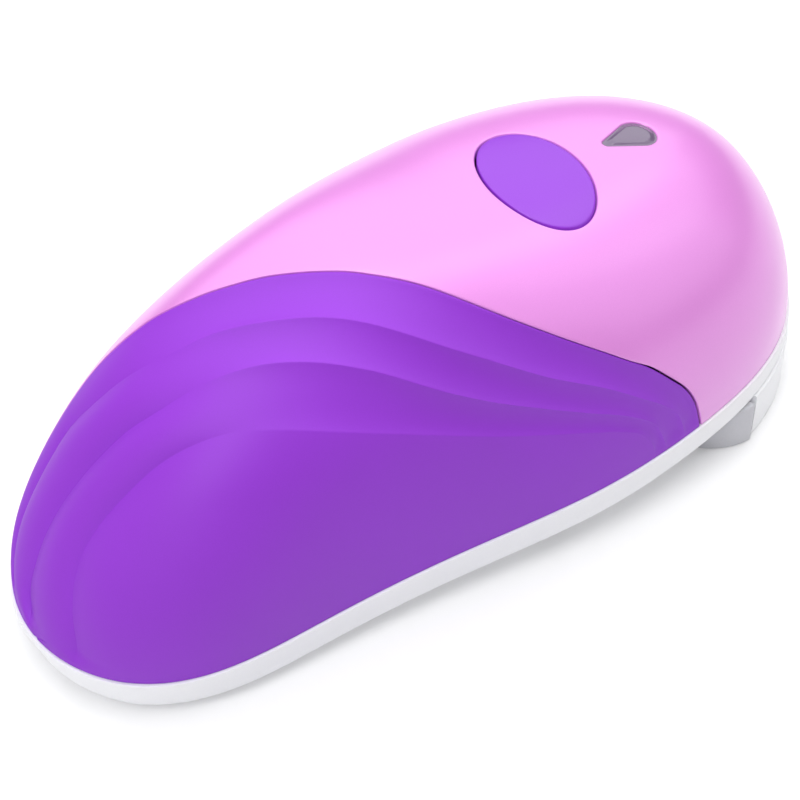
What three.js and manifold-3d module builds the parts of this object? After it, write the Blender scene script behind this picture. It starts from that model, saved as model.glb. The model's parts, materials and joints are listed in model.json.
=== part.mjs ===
// Cordless automatic can opener: a rounded two-colour housing on a shallow base,
// with a thumb button, a geared motor, a serrated drive wheel and a swinging cutter arm under the head.
// Millimetres, +Z up. The body is drawn in its own level frame (parting plane z = 0, head towards +X),
// then the whole group is pitched so that it stands on its tail flat and on the skirt round the head.
import * as THREE from "three";
import { mergeVertices } from "three/addons/utils/BufferGeometryUtils.js";
import Module from "manifold-3d";

// ---- driving dimensions -------------------------------------------------------------------
const LENGTH = 168; // housing, nose to tail
const HALF = LENGTH / 2;
const GROUND_SLOPE = 0.068; // fall of the standing plane per mm, seen from the level body
const GROUND_Z0 = -13.496; // height of the standing plane at x = 0
const ROW_SHIFT_X = -0.927; // brings the middle of the object's box to x = 0

const SHELL_INNER = 3.2; // depth of the upper shell's inside face
const RECESS = 1.7; // depth of the seat for the side grip
const GRIP_INNER = 1.35; // depth of the grip's inside face
const SEAM = 0.15; // half the gap at the parting plane

const BASE_DEPTH = 9; // underside of the base
const FLOOR = 2.2; // thickness of the base's floor
const BASE_WALL = 2.4;

const BUTTON = { x: 28.65, y: 0.25, a: 9.75, b: 13.55, rise: 0.45 };
const BUTTON_GAP = 0.45;
const LENS = { tip: 46.4, x: 54.3, y: 0.3, r: 3.4 };

const DRIVE = [49, 0]; // drive shaft
const PINION = [10, 0]; // geared motor
const IDLER = [27.038, 13.943];
const MODULE = 1;
const PINION_TEETH = 10,
  IDLER_TEETH = 34,
  IDLER_SMALL = 12,
  MAIN_TEETH = 40;
const DRIVE_WHEEL_R = 6;
const CUTTER_R = 7;
const ARM_PIVOT = [60, -20];
const CUTTER = [67.4, -3.0]; // cutting wheel, arm open
const MAGNET = [31, -14];

const CELL_R = 7.1,
  CELL_L = 50.0;
const BAY = { x0: -58.2, x1: -3, y: 16.4, z1: 24.4 };
const DOOR = { x0: -57.6, x1: -4.8, y: 14.9 };

// ---- half width and height of the housing, sampled evenly in u, x = -HALF cos u -------------
const WIDTHS = [0, 3.657, 7.28, 10.813, 14.175, 17.265, 19.998, 22.328, 24.236, 25.725, 26.827, 27.617, 28.194, 28.68, 29.205, 29.842, 30.618, 31.547, 32.628, 33.825, 35.035, 36.141, 37.024, 37.579, 37.804, 37.744, 37.44, 36.926, 36.193, 35.181, 33.833, 32.104, 29.969, 27.442, 24.547, 21.302, 17.719, 13.776, 9.459, 4.825, 0];
const HEIGHTS = [0, 1.791, 4.132, 7.2, 10.775, 14.503, 18.29, 22.183, 26.32, 30.639, 34.881, 38.708, 41.824, 44.235, 46.059, 47.463, 48.514, 49.131, 49.225, 48.733, 47.776, 46.562, 45.299, 44.134, 43.093, 42.171, 41.346, 40.553, 39.696, 38.678, 37.406, 35.795, 33.773, 31.282, 28.3, 24.844, 20.919, 16.504, 11.512, 5.945, 0];
// Edge of the side grip on the housing: x, and the angle round the section from the -Y edge, degrees.
const GRIP_EDGE = [[-84, 180], [-81.5, 180], [-78, 165], [-72, 151], [-64, 139.5], [-55.6, 130.5], [-51.7, 126], [-48.1, 121], [-44.7, 116.2], [-41.6, 111.4], [-38.6, 107], [-35.5, 103], [-32.6, 99.6], [-29.6, 96.6], [-26.7, 94.1], [-24, 92], [-21.2, 90.55], [-18.6, 89.45], [-16.1, 86.9], [-11.2, 79.2], [-6.3, 71.6], [-1.4, 63.5], [3, 57], [10.5, 47.1], [19.6, 36.4], [27.1, 27.9], [31.1, 21.8], [35.6, 13.8], [39.7, 0], [84, 0]];

function sample(table, u) {
  const n = table.length - 1;
  const f = Math.min(Math.max((u / Math.PI) * n, 0), n);
  const i = Math.min(Math.floor(f), n - 1);
  const t = f - i;
  const at = (k) => (k < 0 ? -table[-k] : k > n ? -table[2 * n - k] : table[k]);
  const a = at(i - 1), b = at(i), c = at(i + 1), d = at(i + 2);
  return b + 0.5 * t * (c - a + t * (2 * a - 5 * b + 4 * c - d + t * (3 * (b - c) + d - a)));
}
const uOf = (x) => Math.acos(Math.min(Math.max(-x / HALF, -1), 1));
const halfWidth = (x) => Math.max(sample(WIDTHS, uOf(x)), 0);
const crown = (x) => Math.max(sample(HEIGHTS, uOf(x)), 0);
function lerpTable(xs, ys, x) {
  if (x <= xs[0]) return ys[0];
  for (let i = 1; i < xs.length; i++)
    if (x <= xs[i]) return ys[i - 1] + ((ys[i] - ys[i - 1]) * (x - xs[i - 1])) / (xs[i] - xs[i - 1]);
  return ys[ys.length - 1];
}
const smooth = (t) => { const c = Math.min(Math.max(t, 0), 1); return c * c * (3 - 2 * c); };
// superellipse exponent of the section, on the -Y side and on the +Y side
const expNear = (x) => 2.3 - 0.42 * smooth((x - 20) / 64);
const expFar = (x) => 2.34 + 0.72 * smooth((x + 84) / 56) - 1.2 * smooth((x - 20) / 64);
const gripEdge = (x) => lerpTable(GRIP_EDGE.map((p) => p[0]), GRIP_EDGE.map((p) => p[1]), x) * (Math.PI / 180);

// A point of the housing's skin; depth moves it inwards, scaling about the body's axis.
function skin(x, phi, depth = 0) {
  const c = Math.cos(phi), s = Math.max(Math.sin(phi), 0);
  const e = 2 / (c >= 0 ? expNear(x) : expFar(x));
  const y = -halfWidth(x) * Math.sign(c) * Math.pow(Math.abs(c), e);
  const z = crown(x) * Math.pow(s, e);
  return new THREE.Vector3(x * (1 - depth / HALF), y * (1 - depth / 36), z * (1 - depth / 44));
}
// Height of the skin above a point of the plan.
function skinZ(x, y, depth = 0) {
  const xs = x / (1 - depth / HALF), ys = y / (1 - depth / 36);
  const n = ys < 0 ? expNear(xs) : expFar(xs);
  const q = 1 - Math.pow(Math.min(Math.abs(ys) / halfWidth(xs), 1), n);
  return crown(xs) * Math.pow(q, 1 / n) * (1 - depth / 44);
}

// ---- solids --------------------------------------------------------------------------------
const wasm = await Module();
wasm.setup();

function solid(g) {
  const bare = new THREE.BufferGeometry().setAttribute("position", (g.index ? g.toNonIndexed() : g).getAttribute("position").clone());
  const m = mergeVertices(bare, 1e-4);
  const idx = m.index.array, keep = [];
  for (let i = 0; i < idx.length; i += 3) {
    const [a, b, c] = [idx[i], idx[i + 1], idx[i + 2]];
    if (a !== b && b !== c && a !== c) keep.push(a, b, c);
  }
  return new wasm.Manifold(new wasm.Mesh({ numProp: 3, vertProperties: m.attributes.position.array, triVerts: new Uint32Array(keep) }));
}
function geometryOf(s) {
  const m = s.getMesh();
  const g = new THREE.BufferGeometry();
  g.setAttribute("position", new THREE.BufferAttribute(new Float32Array(m.vertProperties), 3));
  g.setIndex(Array.from(m.triVerts));
  g.computeVertexNormals();
  return g;
}
const join = (...parts) => parts.reduce((a, b) => a.add(b));
const cut = (a, ...tools) => tools.reduce((s, t) => s.subtract(t), a);

// Closed rings of equal length, joined one after another. The end caps are strips between point i and its opposite.
function loft(rings) {
  const n = rings[0].length, pos = [], tri = (a, b, c) => pos.push(...a.toArray(), ...b.toArray(), ...c.toArray());
  for (let r = 0; r + 1 < rings.length; r++)
    for (let i = 0; i < n; i++) {
      const j = (i + 1) % n;
      // the returning half of a ring takes the other diagonal, so nested skins keep parallel facets
      if (i < n / 2) {
        tri(rings[r][i], rings[r][j], rings[r + 1][j]);
        tri(rings[r][i], rings[r + 1][j], rings[r + 1][i]);
      } else {
        tri(rings[r][i], rings[r][j], rings[r + 1][i]);
        tri(rings[r][j], rings[r + 1][j], rings[r + 1][i]);
      }
    }
  const cap = (ring, flip) => {
    for (let i = 0; i < n / 2 - 1; i++) {
      const a = ring[i], b = ring[i + 1], c = ring[n - 2 - i], d = ring[n - 1 - i];
      if (flip) { tri(a, c, b); tri(a, d, c); } else { tri(a, b, c); tri(a, c, d); }
    }
  };
  cap(rings[0], true);
  cap(rings[rings.length - 1], false);
  const g = new THREE.BufferGeometry();
  g.setAttribute("position", new THREE.Float32BufferAttribute(pos, 3));
  let s = solid(g);
  if (s.volume() < 0) {
    for (let i = 0; i < pos.length; i += 9) for (let k = 0; k < 3; k++) [pos[i + 3 + k], pos[i + 6 + k]] = [pos[i + 6 + k], pos[i + 3 + k]];
    g.setAttribute("position", new THREE.Float32BufferAttribute(pos, 3));
    s = solid(g);
  }
  return s;
}
// A patch of skin with thickness: columns of constant x, outer and inner depths by column and row.
function skinPatch(columns) {
  return loft(columns.map((col) => [...col.outer, ...col.inner.slice().reverse()]));
}
const box = (x0, x1, y0, y1, z0, z1) => {
  const g = new THREE.BoxGeometry(x1 - x0, y1 - y0, z1 - z0);
  g.translate((x0 + x1) / 2, (y0 + y1) / 2, (z0 + z1) / 2);
  return solid(g);
};
const cyl = (x, y, r, z0, z1, seg = 20, r2 = r) => {
  const g = new THREE.CylinderGeometry(r2, r, z1 - z0, seg);
  g.rotateX(Math.PI / 2);
  g.translate(x, y, (z0 + z1) / 2);
  return solid(g);
};
// Turned part: profile of [radius, z] from the axis back to the axis, upwards.
const turned = (x, y, profile, seg = 20) => {
  const g = new THREE.LatheGeometry(profile.map(([r, z]) => new THREE.Vector2(r, z)), seg);
  g.rotateX(Math.PI / 2);
  g.translate(x, y, 0);
  return solid(g);
};
const prism = (points, z0, z1, holes = []) => {
  const shape = new THREE.Shape(points.map(([x, y]) => new THREE.Vector2(x, y)));
  for (const h of holes) shape.holes.push(new THREE.Path(h.map(([x, y]) => new THREE.Vector2(x, y))));
  const g = new THREE.ExtrudeGeometry(shape, { depth: z1 - z0, bevelEnabled: false, steps: 1, curveSegments: 1 });
  g.translate(0, 0, z0);
  return solid(g);
};
const circle = (x, y, r, n = 24, from = 0, to = 2 * Math.PI) => {
  const full = to - from > 6.28;
  return Array.from({ length: full ? n : n + 1 }, (_, i) => {
    const a = from + ((to - from) * i) / n;
    return [x + r * Math.cos(a), y + r * Math.sin(a)];
  });
};
const ellipse = (x, y, a, b, n = 28) => Array.from({ length: n }, (_, i) => [x + a * Math.cos((2 * Math.PI * i) / n), y + b * Math.sin((2 * Math.PI * i) / n)]);
const roundBox = (x0, x1, y0, y1, r, n = 4) => [
  ...circle(x1 - r, y1 - r, r, n, 0, Math.PI / 2), ...circle(x0 + r, y1 - r, r, n, Math.PI / 2, Math.PI),
  ...circle(x0 + r, y0 + r, r, n, Math.PI, 1.5 * Math.PI), ...circle(x1 - r, y0 + r, r, n, 1.5 * Math.PI, 2 * Math.PI)];
// Outline round two circles.
const link = ([x1, y1], r1, [x2, y2], r2, n = 10) => {
  const d = Math.hypot(x2 - x1, y2 - y1), a = Math.atan2(y2 - y1, x2 - x1), b = Math.acos((r1 - r2) / d);
  return [...circle(x1, y1, r1, n, a + b, a + 2 * Math.PI - b), ...circle(x2, y2, r2, n, a - b, a + b)];
};
const teardrop = (grow = 0, n = 16) => {
  const r = LENS.r + grow, d = LENS.x - LENS.tip, half = Math.acos(LENS.r / d), pts = [];
  for (let i = 0; i <= n; i++) {
    const a = -(Math.PI - half) + ((2 * (Math.PI - half)) * i) / n;
    pts.push([LENS.x + r * Math.cos(a), LENS.y + r * Math.sin(a)]);
  }
  pts.push([LENS.tip - grow * (d / LENS.r) * 0.75, LENS.y]);
  return pts;
};
// A plate between two heights over a plan outline, drawn in shrinking rings round its middle.
function plateOver(outline, centre, top, bottom, rings = 3) {
  const n = outline.length, pos = [];
  const at = (k, i, f) => {
    const t = k / rings, x = centre[0] + (outline[i % n][0] - centre[0]) * t, y = centre[1] + (outline[i % n][1] - centre[1]) * t;
    return [x, y, f(x, y, t)];
  };
  const tri = (a, b, c) => pos.push(...a, ...b, ...c);
  for (let i = 0; i < n; i++) {
    for (let k = 1; k <= rings; k++) {
      tri(at(k - 1, i, top), at(k, i, top), at(k, i + 1, top));
      if (k > 1) tri(at(k - 1, i, top), at(k, i + 1, top), at(k - 1, i + 1, top));
      tri(at(k - 1, i, bottom), at(k, i + 1, bottom), at(k, i, bottom));
      if (k > 1) tri(at(k - 1, i, bottom), at(k - 1, i + 1, bottom), at(k, i + 1, bottom));
    }
    tri(at(rings, i, top), at(rings, i, bottom), at(rings, i + 1, bottom));
    tri(at(rings, i, top), at(rings, i + 1, bottom), at(rings, i + 1, top));
  }
  const g = new THREE.BufferGeometry();
  g.setAttribute("position", new THREE.Float32BufferAttribute(pos, 3));
  return solid(g);
}
// Involute spur gear outline with a little backlash.
function gearOutline([cx, cy], teeth, phase) {
  const r = (MODULE * teeth) / 2, rb = r * Math.cos((20 * Math.PI) / 180), ra = r + 0.92 * MODULE, rf = r - 1.2 * MODULE;
  const inv = (q) => { const a = Math.acos(Math.min(rb / q, 1)); return Math.tan(a) - a; };
  const half = (Math.PI * MODULE) / 4 / r - 0.11 / r, pts = [];
  const angleAt = (q) => half + inv(r) - inv(Math.max(q, rb));
  for (let t = 0; t < teeth; t++) {
    const c = phase + (2 * Math.PI * t) / teeth;
    for (const [q, s] of [[rf, -1], [ra, -1], [ra, 1], [rf, 1]])
      pts.push([cx + q * Math.cos(c + s * angleAt(q)), cy + q * Math.sin(c + s * angleAt(q))]);
  }
  return pts;
}
// Round wire along a curve.
function wire(curve, radius, steps, sides = 7) {
  const s = new THREE.Shape(circle(0, 0, radius, sides).map(([a, b]) => new THREE.Vector2(a, b)));
  return solid(new THREE.ExtrudeGeometry(s, { steps, extrudePath: curve, bevelEnabled: false }));
}
class Coil extends THREE.Curve {
  constructor(centre, axis, r0, r1, height, turns) { super(); Object.assign(this, { centre, axis, r0, r1, height, turns }); }
  getPoint(t, target = new THREE.Vector3()) {
    const a = 2 * Math.PI * this.turns * t, r = this.r0 + (this.r1 - this.r0) * t;
    const p = this.axis === "z" ? [r * Math.cos(a), r * Math.sin(a), this.height * t] : [this.height * t, r * Math.cos(a), r * Math.sin(a)];
    return target.set(this.centre[0] + p[0], this.centre[1] + p[1], this.centre[2] + p[2]);
  }
}

// ---- the assembly --------------------------------------------------------------------------
const body = new THREE.Group();
const look = {
  pink: [0xf4a8f4, 0.22, 0.0], purple: [0x9a4fd8, 0.42, 0.0], button: [0xa85bee, 0.38, 0.0], white: [0xe9eaee, 0.4, 0.0], lens: [0x9a84aa, 0.18, 0.0],
  grey: [0xb1b0b6, 0.42, 0.1], steel: [0xc4c6c8, 0.3, 1.0], dark: [0x2b2c30, 0.55, 0.0], brass: [0xc9a35a, 0.35, 1.0], nylon: [0xf0ede2, 0.5, 0.0],
  board: [0x1f6b3a, 0.5, 0.0], cell: [0x3a3d45, 0.4, 0.1], red: [0xb3261e, 0.5, 0.0], black: [0x1c1c1e, 0.5, 0.0], zinc: [0x8d9095, 0.35, 0.9], led: [0xf2f4ff, 0.2, 0.0],
};
function piece(name, s, tint) {
  const [color, roughness, metalness] = look[tint];
  const mesh = new THREE.Mesh(geometryOf(s), new THREE.MeshStandardMaterial({ color, roughness, metalness }));
  mesh.name = name;
  body.add(mesh);
}

// Upper shell: one dome, with a shallow seat all over the area that the side grip covers.
const stations = [...Array.from({ length: 25 }, (_, i) => -HALF * Math.cos((Math.PI * i) / 24)), -81.5, 35.6, 39.5, 39.9].sort((a, b) => a - b).filter((x, i, all) => i === 0 || x - all[i - 1] > 0.25 || x > 83.99);
const ROWS_A = 9, ROWS_B = 10;
const gapAngle = (x) => 0.3 / Math.max(Math.hypot(halfWidth(x), crown(x)) * 0.75, 4);
const domeColumns = stations.map((x) => {
  const e = gripEdge(x), d = gapAngle(x);
  const outer = [], inner = [];
  const seat = x < 39.6, open = x > -79.5;
  const eA = seat ? (open ? Math.min(e + d, Math.PI) : Math.PI) : 0;
  for (let k = 0; k <= ROWS_A; k++) {
    const phi = (eA * k) / ROWS_A;
    outer.push(skin(x, phi, seat ? RECESS : 0));
    inner.push(skin(x, phi, SHELL_INNER));
  }
  for (let k = 0; k <= ROWS_B; k++) {
    const phi = eA + ((Math.PI - eA) * k) / ROWS_B;
    outer.push(skin(x, phi, open ? 0 : RECESS));
    inner.push(skin(x, phi, SHELL_INNER));
  }
  return { outer, inner };
});
let shell = skinPatch(domeColumns);
shell = cut(shell, box(-90, 90, -45, 45, -5, SEAM));
shell = cut(shell, prism(ellipse(BUTTON.x, BUTTON.y, BUTTON.a + BUTTON_GAP, BUTTON.b + BUTTON_GAP), 30, 55));
shell = cut(shell, prism(teardrop(0.3), 28, 50));
const SHELL_POSTS = [[76, 0, 18], [-64.5, 0, 22], [8, 28.6, 22], [8, -28.6, 22]];
for (const [x, y, top] of SHELL_POSTS) {
  const post = cut(cyl(x, y, 3.4, SEAM, top + 4, 10), cyl(x, y, 1.7, -1, 12, 8));
  const under = plateOver(circle(x, y, 5, 10), [x, y], (a, b) => skinZ(a, b, SHELL_INNER - 0.6), () => -3, 2);
  shell = join(shell, post.intersect(under));
}
piece("top_shell", shell, "pink");

// Side grip: a thin wing that covers the -Y side and wraps the tail, flush with the shell round it.
const gripStations = stations.filter((x) => x < 39.2).concat([39.3]);
const gripColumns = gripStations.map((x) => {
  const e = gripEdge(x), d = gapAngle(x);
  const top = x <= -81.4 ? Math.PI : Math.max(e - d, 0);
  const outer = [], inner = [];
  for (let k = 0; k <= ROWS_A; k++) {
    const phi = x > 39.2 ? 0 : k < ROWS_A ? Math.min(((x <= -79.5 ? Math.PI : e + d) * k) / ROWS_A, top) : top;
    outer.push(skin(x, phi, 0));
    inner.push(skin(x, phi, GRIP_INNER));
  }
  return { outer, inner };
});
piece("side_grip", cut(skinPatch(gripColumns), box(-90, 90, -45, 45, -5, SEAM)), "purple");

// Base: a shallow tray with a rounded lower edge, deeper and squarer towards the head.
// It stands a little proud of the shell all round.
const BASE_PROUD = 0.4;
const wallDrop = (x) => 1.4 + 1.6 * smooth((x + 84) / 10) + 1.9 * smooth((x + 84) / 34) - 0.5 * smooth((x - 10) / 30);
const baseRing = (x, inset, floorZ) => {
  const k = Math.max((halfWidth(x) - inset) / Math.max(halfWidth(x), 1e-6), 0);
  const w = halfWidth(x) * k, xx = x * (1 - inset / HALF), drop = wallDrop(x);
  const depth = floorZ, r = Math.min(Math.max(depth - drop, 0.5), Math.max(w * 0.96, 0.01)), near = [];
  near.push([w, 0], [w, -drop]);
  for (let i = 1; i <= 4; i++) {
    const a = (Math.PI / 2) * (i / 4);
    near.push([w - r * 1.05 * (1 - Math.cos(a)), -drop - (depth - drop) * Math.sin(a)]);
  }
  return [...near.map(([y, z]) => new THREE.Vector3(xx, -y, z)), ...near.reverse().map(([y, z]) => new THREE.Vector3(xx, y, z))];
};
// the tail and nose of the base round off as the outline closes
const endDepth = (x, full) => full * Math.pow(Math.max(1 - Math.pow(Math.abs(x) / HALF, x < 0 ? 24 : 70), 0), x < 0 ? 0.5 : 0.42);
const baseStations = Array.from({ length: 23 }, (_, i) => -HALF * Math.cos(0.03 + ((Math.PI - 0.06) * i) / 22));
const baseOuter = loft(baseStations.map((x) => baseRing(x, -BASE_PROUD, Math.max(endDepth(x, BASE_DEPTH), wallDrop(x) + 0.4))));
const baseInner = loft(baseStations.map((x) => baseRing(x, BASE_WALL, Math.max(endDepth(x, BASE_DEPTH) - FLOOR, wallDrop(x) * 0.6 + 0.2))));
let base = cut(baseOuter, join(baseInner, box(-70, 70, -12, 12, -0.5, 5)), box(-90, 90, -45, 45, -SEAM, 5));

// Skirt round the front of the head: follows the outline and reaches the standing plane.
const SKIRT_FROM = 56.4, SKIRT_WALL = 2.4, SKIRT_OUT = 0.9;
const outlineFront = (inset) => {
  const pts = [], n = 12, u0 = uOf(SKIRT_FROM / (1 - inset / HALF));
  for (let i = 0; i < n; i++) {
    const x = -HALF * Math.cos(u0 + ((Math.PI - u0) * i) / n);
    pts.push([x * (1 - (inset || -SKIRT_OUT) / HALF), -(halfWidth(x) + (inset ? -inset : SKIRT_OUT))]);
  }
  const tip = [HALF - (inset || -SKIRT_OUT), 0];
  return [...pts, tip, ...pts.slice().reverse().map(([x, y]) => [x, -y])];
};
const skirt = prism([...outlineFront(0), ...outlineFront(SKIRT_WALL).reverse()], -22, -3.6);
const bigInside = prism([...outlineFront(SKIRT_WALL), [30, 30], [30, -30]], -22, -BASE_DEPTH);
base = join(base, skirt.subtract(bigInside.subtract(box(20, 90, -50, 50, -BASE_DEPTH - 0.01, 0))));

// Bosses inside the base.
const PLATE_POSTS = [[2.2, 21.5], [2.2, -21.5], [47.5, 25], [47.5, -25]];
const FLOOR_TOP = -BASE_DEPTH + FLOOR;
for (const [x, y] of SHELL_POSTS) base = join(base, cyl(x, y, 3.4, -BASE_DEPTH + 1.5, -SEAM, 10));
for (const [x, y] of PLATE_POSTS) base = join(base, cyl(x, y, 3, FLOOR_TOP - 0.5, 9.3, 10));
base = join(base, cyl(...DRIVE, 7, FLOOR_TOP - 0.5, -2.2, 20), cyl(...IDLER, 3.2, FLOOR_TOP - 0.5, -5.2, 14), cyl(...ARM_PIVOT, 4.6, FLOOR_TOP - 0.5, -6.2, 16), cyl(...MAGNET, 3.8, FLOOR_TOP - 0.5, -6.3, 16));
base = cut(base, cyl(...DRIVE, 4.7, -12, 2, 18), cyl(...IDLER, 1.55, -7.6, 0, 12), cyl(...ARM_PIVOT, 2.6, -12, 2, 14), cyl(...MAGNET, 2.35, -12, 2, 14));
for (const [x, y] of SHELL_POSTS) base = cut(base, cyl(x, y, 1.7, -12, 3, 8), cyl(x, y, 3.0, -12, -BASE_DEPTH + 3.2, 12));
for (const [x, y] of PLATE_POSTS) base = cut(base, cyl(x, y, 1.5, -3, 12, 8));
// Battery opening, and finger scoop at its tail edge.
base = cut(base, prism(roundBox(DOOR.x0 - 0.4, DOOR.x1 + 0.4, -DOOR.y - 0.4, DOOR.y + 0.4, 2.6), -12, 0));
base = cut(base, cyl(DOOR.x0 - 1.5, 0, 4.2, -12, -BASE_DEPTH + 1.1, 18));
// Guard screws.
const GUARD_SCREWS = [[50.5, -31.0]];
for (const [x, y] of GUARD_SCREWS) base = cut(base, cyl(x, y, 1.5, -12, -7.2, 12), cyl(x, y, 1.5, -12, 2, 12));
// Standing flat under the tail and along the skirt.
const below = (clearance) => {
  const g = new THREE.BoxGeometry(260, 140, 40);
  g.translate(0, 0, -20);
  g.rotateY(Math.atan(GROUND_SLOPE));
  g.translate(0, 0, GROUND_Z0 + clearance);
  return solid(g);
};
base = cut(base, below(0));
piece("base_shell", base, "white");

// Battery door with a pull lip.
let door = prism(roundBox(DOOR.x0, DOOR.x1, -DOOR.y, DOOR.y, 2.2), -BASE_DEPTH, -7.1);
for (let i = 0; i < 4; i++) door = cut(door, box(DOOR.x0 + 6 + i * 2.4, DOOR.x0 + 7.1 + i * 2.4, -8, 8, -10, -BASE_DEPTH + 0.6));
door = join(door, box(DOOR.x0 + 2.5, DOOR.x0 + 4, -5, 5, -7.3, -6.65), box(DOOR.x1 - 8, DOOR.x1 - 6.4, -12, 12, -7.3, -6.65));
piece("battery_door", door, "white");

// Battery holder: an open-bottomed box, with a mid rib between the two pairs of cells.
let holder = cut(box(BAY.x0, BAY.x1, -BAY.y, BAY.y, -6.4, BAY.z1), box(BAY.x0 + 1.3, BAY.x1 - 1.3, -BAY.y + 1.3, BAY.y - 1.3, -8, BAY.z1 - 1.3));
for (const s of [-1, 1]) holder = join(holder, box(BAY.x0 + 10, BAY.x0 + 14, s > 0 ? BAY.y - 1.4 : -BAY.y + 0.7, s > 0 ? BAY.y - 0.7 : -BAY.y + 1.4, 3, 12));
piece("battery_holder", holder, "dark");
const CELL_X0 = BAY.x0 + 1.3 + 1.5;
const cellAt = (name, y, z, flip) => {
  const p = [[0, 0], [6.5, 0], [CELL_R, 0.7], [CELL_R, CELL_L - 1.9], [6.5, CELL_L - 1.3], [2.8, CELL_L - 1.3], [2.8, CELL_L], [0, CELL_L]];
  const g = new THREE.LatheGeometry(p.map(([r, h]) => new THREE.Vector2(r, h)), 14);
  g.rotateZ(flip ? Math.PI / 2 : -Math.PI / 2);
  g.translate(flip ? CELL_X0 + CELL_L : CELL_X0, y, z);
  piece(name, solid(g), "cell");
};
const CELL_Y = 7.35, CELL_Z = [0.9, 15.5];
cellAt("cell_lower_left", CELL_Y, CELL_Z[0], false);
cellAt("cell_lower_right", -CELL_Y, CELL_Z[0], true);
cellAt("cell_upper_left", CELL_Y, CELL_Z[1], true);
cellAt("cell_upper_right", -CELL_Y, CELL_Z[1], false);
const plateX = BAY.x0 + 1.6;
piece("contact_plate_tail", box(plateX, plateX + 0.5, -13.4, 13.4, -2, 20), "steel");
piece("contact_plate_head", box(BAY.x1 - 2.1, BAY.x1 - 1.6, -13.4, 13.4, -2, 20), "steel");

// Geared motor: motor can, end bell, gearhead and output pinion.
const [px, py] = PINION;
piece("gearhead", turned(px, py, [[0, -0.1], [12.2, -0.1], [12.8, 0.5], [12.8, 9.2], [0, 9.2]], 26), "dark");
piece("motor_can", cut(turned(px, py, [[0, 9.6], [11.6, 9.6], [11.9, 10], [11.9, 31], [11.2, 32], [0, 32]], 26), box(px - 13, px + 13, py + 9.4, py + 13, 14, 40), box(px - 13, px + 13, py - 13, py - 9.4, 14, 40)), "steel");
piece("motor_end_bell", join(cut(cyl(px, py, 8.8, 32.3, 33.6, 20), cyl(px, py, 2, 30, 36, 12)), box(px - 6.4, px - 5.4, py - 1.2, py + 1.2, 33.4, 36), box(px + 5.4, px + 6.4, py - 1.2, py + 1.2, 33.4, 36)), "nylon");
const toIdler = Math.atan2(IDLER[1] - py, IDLER[0] - px), toMain = Math.atan2(DRIVE[1] - IDLER[1], DRIVE[0] - IDLER[0]);
piece("output_pinion", join(prism(gearOutline(PINION, PINION_TEETH, toIdler), -5.1, -0.9), cyl(px, py, 2.2, -5.5, -0.5, 12)), "brass");

// Gear train.
let idler = prism(gearOutline(IDLER, IDLER_TEETH, toIdler + Math.PI + Math.PI / IDLER_TEETH), -4.7, -0.7);
idler = join(idler, prism(gearOutline(IDLER, IDLER_SMALL, toMain), -0.9, 6.4), cyl(...IDLER, 3.6, 6, 9.0, 14));
idler = cut(idler, cyl(...IDLER, 1.62, -9, 12, 16));
piece("idler_gear", idler, "nylon");
piece("idler_axle", cyl(...IDLER, 1.5, -7.4, 11.2, 16), "steel");
const dHole = (r, flat, z0, z1) => cut(cyl(...DRIVE, r, z0, z1, 18), box(DRIVE[0] + flat, DRIVE[0] + 9, -9, 9, z0 - 1, z1 + 1));
let main = join(prism(gearOutline(DRIVE, MAIN_TEETH, toMain + Math.PI + Math.PI / MAIN_TEETH), 0.7, 5.7), cyl(...DRIVE, 5.4, -1.6, 8.8, 20));
main = cut(main, cut(cyl(...DRIVE, 2.8, -3, 12, 18), box(DRIVE[0] + 2.1, DRIVE[0] + 9, -9, 9, -4, 13)));
piece("main_gear", main, "nylon");
piece("drive_shaft", join(dHole(2.5, 1.8, -1.9, 11.6), cyl(...DRIVE, 2.5, -10, -1.9, 18), dHole(2.5, 1.8, -14.6, -9.9)), "steel");
const wheelPts = [];
for (let i = 0; i < 22; i++) {
  const a = (2 * Math.PI * i) / 22, b = a + Math.PI / 22;
  wheelPts.push([DRIVE[0] + DRIVE_WHEEL_R * Math.cos(a), DRIVE_WHEEL_R * Math.sin(a)], [DRIVE[0] + (DRIVE_WHEEL_R - 0.75) * Math.cos(b), (DRIVE_WHEEL_R - 0.75) * Math.sin(b)]);
}
piece("drive_wheel", cut(join(prism(wheelPts, -14.9, -11.4), cyl(...DRIVE, 4.6, -11.5, -10.75, 20)), cut(cyl(...DRIVE, 2.8, -16, -9, 18), box(DRIVE[0] + 2.1, DRIVE[0] + 9, -9, 9, -17, -8))), "steel");
piece("drive_wheel_screw", join(turned(...DRIVE, [[0, -16.1], [2.6, -16.1], [3.3, -15.6], [3.3, -15.2], [0, -15.2]], 16)), "steel");
piece("shaft_bushing_lower", cut(turned(...DRIVE, [[0, -10.35], [6.1, -10.35], [6.1, -9.3], [4.4, -9.3], [4.4, -2.5], [0, -2.5]], 18), cyl(...DRIVE, 2.62, -14, 2, 18)), "brass");
piece("shaft_bushing_upper", cut(turned(...DRIVE, [[0, 9.2], [3.6, 9.2], [3.6, 12.2], [0, 12.2]], 18), cyl(...DRIVE, 2.62, 5, 20, 18)), "brass");

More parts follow.
